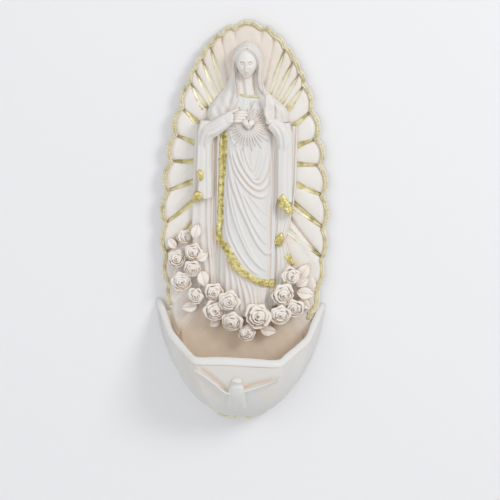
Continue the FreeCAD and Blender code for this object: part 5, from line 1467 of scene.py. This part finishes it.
patches = bmesh.new()
for outline, depth, crown in CORNERS:
    patches.from_mesh(as_mesh(corner_patch(outline, depth, crown), "part"))
finish(patches, "gilded_corners", gold_stippled_paint, ["gold_patches"], 6, 0.2)

# %% [markdown]
# ## Roses
# Each rose is built petal by petal, as it is on the real garland. A petal is a small cupped sheet
# whose rim rolls outwards. Five large ones, four middle ones and three tight ones sit round a
# spiral bud, and every layer is turned and tilted a little. Seeded chance keeps no two alike.

# %% Petals

# Across, up, radius and rise over the plate.
ROSES = [
    (-28.4, -8.7, 3.5, 4.4), (-23.6, -15.5, 3.9, 8.0), (-31.6, -19.5, 4.1, 5.2), (-23.9, -23.1, 3.8, 8.4),
    (-29.4, -30.0, 4.6, 6.4), (-22.2, -36.5, 3.7, 8.6), (-13.4, -34.4, 4.2, 9.4), (-12.9, -43.5, 5.1, 9.0),
    (-5.7, -38.0, 4.7, 11.4), (-4.3, -48.4, 4.7, 10.4), (2.8, -53.9, 3.8, 9.0), (7.8, -45.3, 5.7, 11.4),
    (18.5, -44.3, 4.6, 9.4), (25.3, -41.4, 4.3, 7.4), (19.8, -34.5, 5.0, 9.8), (23.6, -25.5, 4.1, 8.4),
]
ROSE_GROWTH = 0.96
# Petals from the outermost ring in: how many, how wide (radians each way), and the rows of one from
# its foot to its rolled rim, as distance from the axis and height in shares of the rose.
RINGS = [
    (5, 0.80, [(0.20, -0.55), (0.45, -0.42), (0.68, -0.22), (0.86, 0.02), (0.98, 0.14), (1.06, 0.10),
               (1.07, -0.02)]),
    (4, 0.92, [(0.16, -0.40), (0.34, -0.20), (0.50, 0.04), (0.61, 0.26), (0.70, 0.37), (0.78, 0.36),
               (0.80, 0.26)]),
    (3, 1.15, [(0.10, -0.25), (0.22, 0.00), (0.32, 0.24), (0.37, 0.42), (0.43, 0.50), (0.50, 0.49),
               (0.52, 0.40)]),
    (2, 1.75, [(0.06, -0.10), (0.11, 0.14), (0.15, 0.34), (0.17, 0.48), (0.20, 0.55), (0.25, 0.55),
               (0.27, 0.46)]),
]


def petal(bm, rows, turn, spread, radius, tilt, frame_of):
    """Add one petal, thick as paper in the hand, to a rose."""
    path = curve(rows, 3)

    def rule(u, v):
        out, up = point_on(path, v)
        side = u * 2 - 1
        angle = turn + side * (spread * np.interp(v, [0, 0.3, 0.75, 1], [0.55, 0.95, 1.0, 0.86]))
        pinch = 1 - 0.16 * np.abs(side) ** 3 * smooth_step(0.4, 1, v) + 0.07 * bell(side, 0.25) * v ** 2
        out = out * pinch * (1 + 0.07 * np.sin(side * 5 + turn) * v ** 2)
        up = up - 0.10 * np.abs(side) ** 2.5 * v + tilt * out
        return out * np.cos(angle) * radius, up * radius, out * np.sin(angle) * radius

    sheet = mould(14, 18, rule)
    bmesh.ops.recalc_face_normals(sheet, faces=sheet.faces)
    bmesh.ops.solidify(sheet, geom=sheet.faces[:], thickness=0.10 * radius * MM)
    bmesh.ops.transform(sheet, matrix=frame_of, verts=sheet.verts)
    bm.from_mesh(as_mesh(sheet, "part"))


# %% Roses of the garland


def rose(number, x, z, radius, rise):
    chance = np.random.default_rng(number)
    bm = bmesh.new()
    face = Matrix.Rotation(math.radians(chance.uniform(-14, 14)), 4, "X") @ \
        Matrix.Rotation(math.radians(chance.uniform(-14, 14)), 4, "Z")
    top = PANEL_DEPTH + rise - 0.55 * radius
    frame_of = Matrix.Translation((x * MM, -top * MM, z * MM)) @ face
    start = chance.uniform(0, 6.28)
    for count, spread, rows in RINGS:
        for number_round in range(count):
            turn = start + 2 * math.pi * number_round / count + chance.uniform(-0.12, 0.12)
            petal(bm, rows, turn, spread * chance.uniform(0.88, 1.08), radius * chance.uniform(0.90, 1.06),
                  chance.uniform(-0.10, 0.16), frame_of)
        start += 0.7
    core = Matrix.Translation((x * MM, -(top - 0.35 * radius) * MM, z * MM))
    bmesh.ops.create_uvsphere(bm, u_segments=32, v_segments=20, radius=0.80 * radius * MM,
                              matrix=core @ Matrix.Diagonal((1, 0.72, 1, 1)))
    add_tube(bm, ((x, PANEL_DEPTH - 1, z), (x, top - 0.3 * radius, z)), (0.62 * radius, 0.62 * radius))
    name = f"rose_{number:02d}"
    finish(bm, name + "_petals", garland_resin, [name], 7, 0.12 * radius / 4)


for number, (x, z, radius, rise) in enumerate(ROSES, 1):
    rose(number, x, z, radius * ROSE_GROWTH, rise)

# %% [markdown]
# ## Leaves
# A rose leaf is pointed, with a sawn edge, a sunk middle vein and side veins that turn forward.
# It bends over its length, and its two halves rise from the middle vein.

# %% Leaves of the garland

# Across, up, length, direction in degrees and rise over the plate.
LEAVES = {
    "leaves_left": [(-22.6, -5.0, 7, 12, 7.6), (-34.4, -12.0, 6, -40, 2.6), (-19.2, -17.4, 6, 60, 7.8),
                    (-18.6, -28.2, 8, 160, 7.6), (-25.4, -42.6, 7.5, 262, 4.4)],
    "leaves_right": [(29.2, -23.6, 8.5, 36, 4.2), (28.8, -28.8, 7, 55, 3.4), (30.4, -34.2, 8.5, 97, 4.6),
                     (30.0, -39.6, 7, 128, 3.2)],
    "leaves_bottom": [(12.9, -52.9, 8, 98, 4.8), (-13.0, -50.2, 6, 235, 4.0)],
}


def leaf_rule(x0, z0, length, direction, rise):
    turn = math.radians(direction)

    def rule(u, v):
        side = np.abs(u * 2 - 1)
        width = 0.30 * length * np.sin(np.clip(v * 1.02, 0, 1) * math.pi) ** 0.75 * (1 - 0.35 * v) * 1.25
        teeth = 1 + 0.10 * (np.abs(((v * 9) % 1) - 0.3)) * (side > 0.9)
        across = (u * 2 - 1) * (width + 0.12) * teeth
        along = (v - 0.5) * length
        vein = -0.32 * bell(side, 0.10)
        side_veins = -0.12 * bell((v * 7 - side * 1.1) % 1 - 0.5, 0.16) * smooth_step(0.05, 0.3, side)
        cup = 0.55 * side ** 1.5 - 0.45 * side ** 6
        arch = 1.2 * np.sin(v * math.pi * 0.9 + 0.2)
        x = x0 + math.sin(turn) * along + math.cos(turn) * across
        z = z0 + math.cos(turn) * along - math.sin(turn) * across
        return x, PANEL_DEPTH + rise - 1.1 + arch + cup + vein + side_veins, z

    return rule


for name, leaves in LEAVES.items():
    bunch = bmesh.new()
    for leaf in leaves:
        bunch.from_mesh(as_mesh(slab(26, 44, leaf_rule(*leaf), PANEL_DEPTH - 0.6), "part"))
    finish(bunch, name + "_veined", garland_resin, [name], 6, 0.16)

# %% [markdown]
# ## Hanger
# The keyhole plate and its screws are right as the frame gives them, so they only get a finish:
# dull zinc, with faint streaks from rolling.

# %% Zinc

zinc, tree, shader = paint("zinc_sheet", {"Metallic": 1.0, "Base Color": (0.56, 0.57, 0.58, 1)})
places = node(tree, "TexCoord", "Object")
stretch = node(tree, "Mapping", "Vector", {"Vector": places, "Scale": (60, 900, 900)})
streaks = node(tree, "TexNoise", "Fac", {"Vector": stretch, "Scale": 1.0, "Detail": 5})
shine = node(tree, "MapRange", "Result", {"Value": streaks, "To Min": 0.32, "To Max": 0.55})
feed(tree, shader, {"Roughness": shine})
for name in ("hanger_plate", "hanger_screws"):
    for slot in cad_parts[name].material_slots:
        slot.material = zinc

# %% [markdown]
# ## Camera, light and stage
# The stoup hangs on a pale wall, so the wall stands just behind it and takes its soft shadow. The
# wall is there for the eye only, and only from the front: light passes it, and from behind it
# can't be seen, so the back can be looked at. The lens is long, because a small object seen from
# an arm's length shows almost no perspective.

# %% Camera

VIEW_TURN, VIEW_RAISE, VIEW_ROLL = (math.radians(angle) for angle in (3.5, 10, 1.13))
AIM = Vector((0.0030, -0.0040, -0.0148))
DISTANCE, VIEW_WIDTH, SENSOR = 1.25, 0.2405, 36
camera = add_object("camera", bpy.data.cameras.new("camera"))
camera.data.lens = SENSOR / (VIEW_WIDTH / DISTANCE)
away = Vector((math.sin(VIEW_TURN) * math.cos(VIEW_RAISE), -math.cos(VIEW_TURN) * math.cos(VIEW_RAISE),
               math.sin(VIEW_RAISE)))
camera.location = AIM + away * DISTANCE
facing = (-away).to_track_quat("-Z", "Y").to_matrix().to_4x4()
roll = Matrix.Rotation(VIEW_ROLL, 4, "Z")
camera.matrix_world = Matrix.Translation(camera.location) @ facing @ roll
bpy.context.scene.camera = camera
print("lens", round(camera.data.lens), "mm")

# %% Lights


def area_light(name, place, size, power):
    lamp = add_object(name, bpy.data.lights.new(name, "AREA"))
    lamp.data.size = size
    lamp.data.energy = power
    lamp.location = place
    lamp.rotation_euler = (-Vector(place)).to_track_quat("-Z", "Y").to_euler()


area_light("window", (0.78, -0.80, 0.62), 0.40, 5.6)
area_light("room", (-0.5, -1.2, 0.2), 1.2, 3.2)
world = bpy.data.worlds.new("room_air")
world.use_nodes = True
feed(world.node_tree, world.node_tree.nodes["Background"], {"Color": (0.95, 0.97, 1.0, 1), "Strength": 0.66})
bpy.context.scene.world = world
bpy.context.scene.view_settings.view_transform = "Standard"

# %% Wall and floor


def stage_paint(name, colour):
    return paint(name, {"Base Color": (*colour, 1), "Roughness": 0.9})


def only_from_the_front(tree, shader):
    """Let a paint be seen by the camera and in reflections, on its front side only."""
    camera_ray, glossy_ray = (node(tree, "LightPath", name) for name in ("Is Camera Ray", "Is Glossy Ray"))
    seen = node(tree, "Math", "Value", {0: camera_ray, 1: glossy_ray}, operation="MAXIMUM")
    unseen = node(tree, "Math", "Value", {0: 1.0, 1: seen}, operation="SUBTRACT")
    back = node(tree, "NewGeometry", "Backfacing")
    through = node(tree, "Math", "Value", {0: back, 1: unseen}, operation="MAXIMUM")
    clear = node(tree, "BsdfTransparent", "BSDF")
    either = node(tree, "MixShader", "Shader", {"Fac": through, 1: shader.outputs["BSDF"], 2: clear})
    feed(tree, tree.nodes["Material Output"], {"Surface": either})


def stage_plane(name, size, place, upright, material):
    bm = bmesh.new()
    bmesh.ops.create_grid(bm, x_segments=1, y_segments=1, size=size)
    if upright:
        bmesh.ops.rotate(bm, verts=bm.verts, matrix=Matrix.Rotation(math.radians(90), 3, "X"))
    bmesh.ops.translate(bm, verts=bm.verts, vec=place)
    mesh = as_mesh(bm, name)
    mesh.materials.append(material)
    plane = add_object(name, mesh)


wall_paint, tree, shader = stage_paint("wall_paint", (0.86, 0.855, 0.86))
only_from_the_front(tree, shader)
stage_plane("wall", 1.2, (0, 0.0006, 0.35), True, wall_paint)
stage_plane("floor", 3.0, (0, 0, -0.62), False, stage_paint("floor_paint", (0.80, 0.80, 0.80))[0])
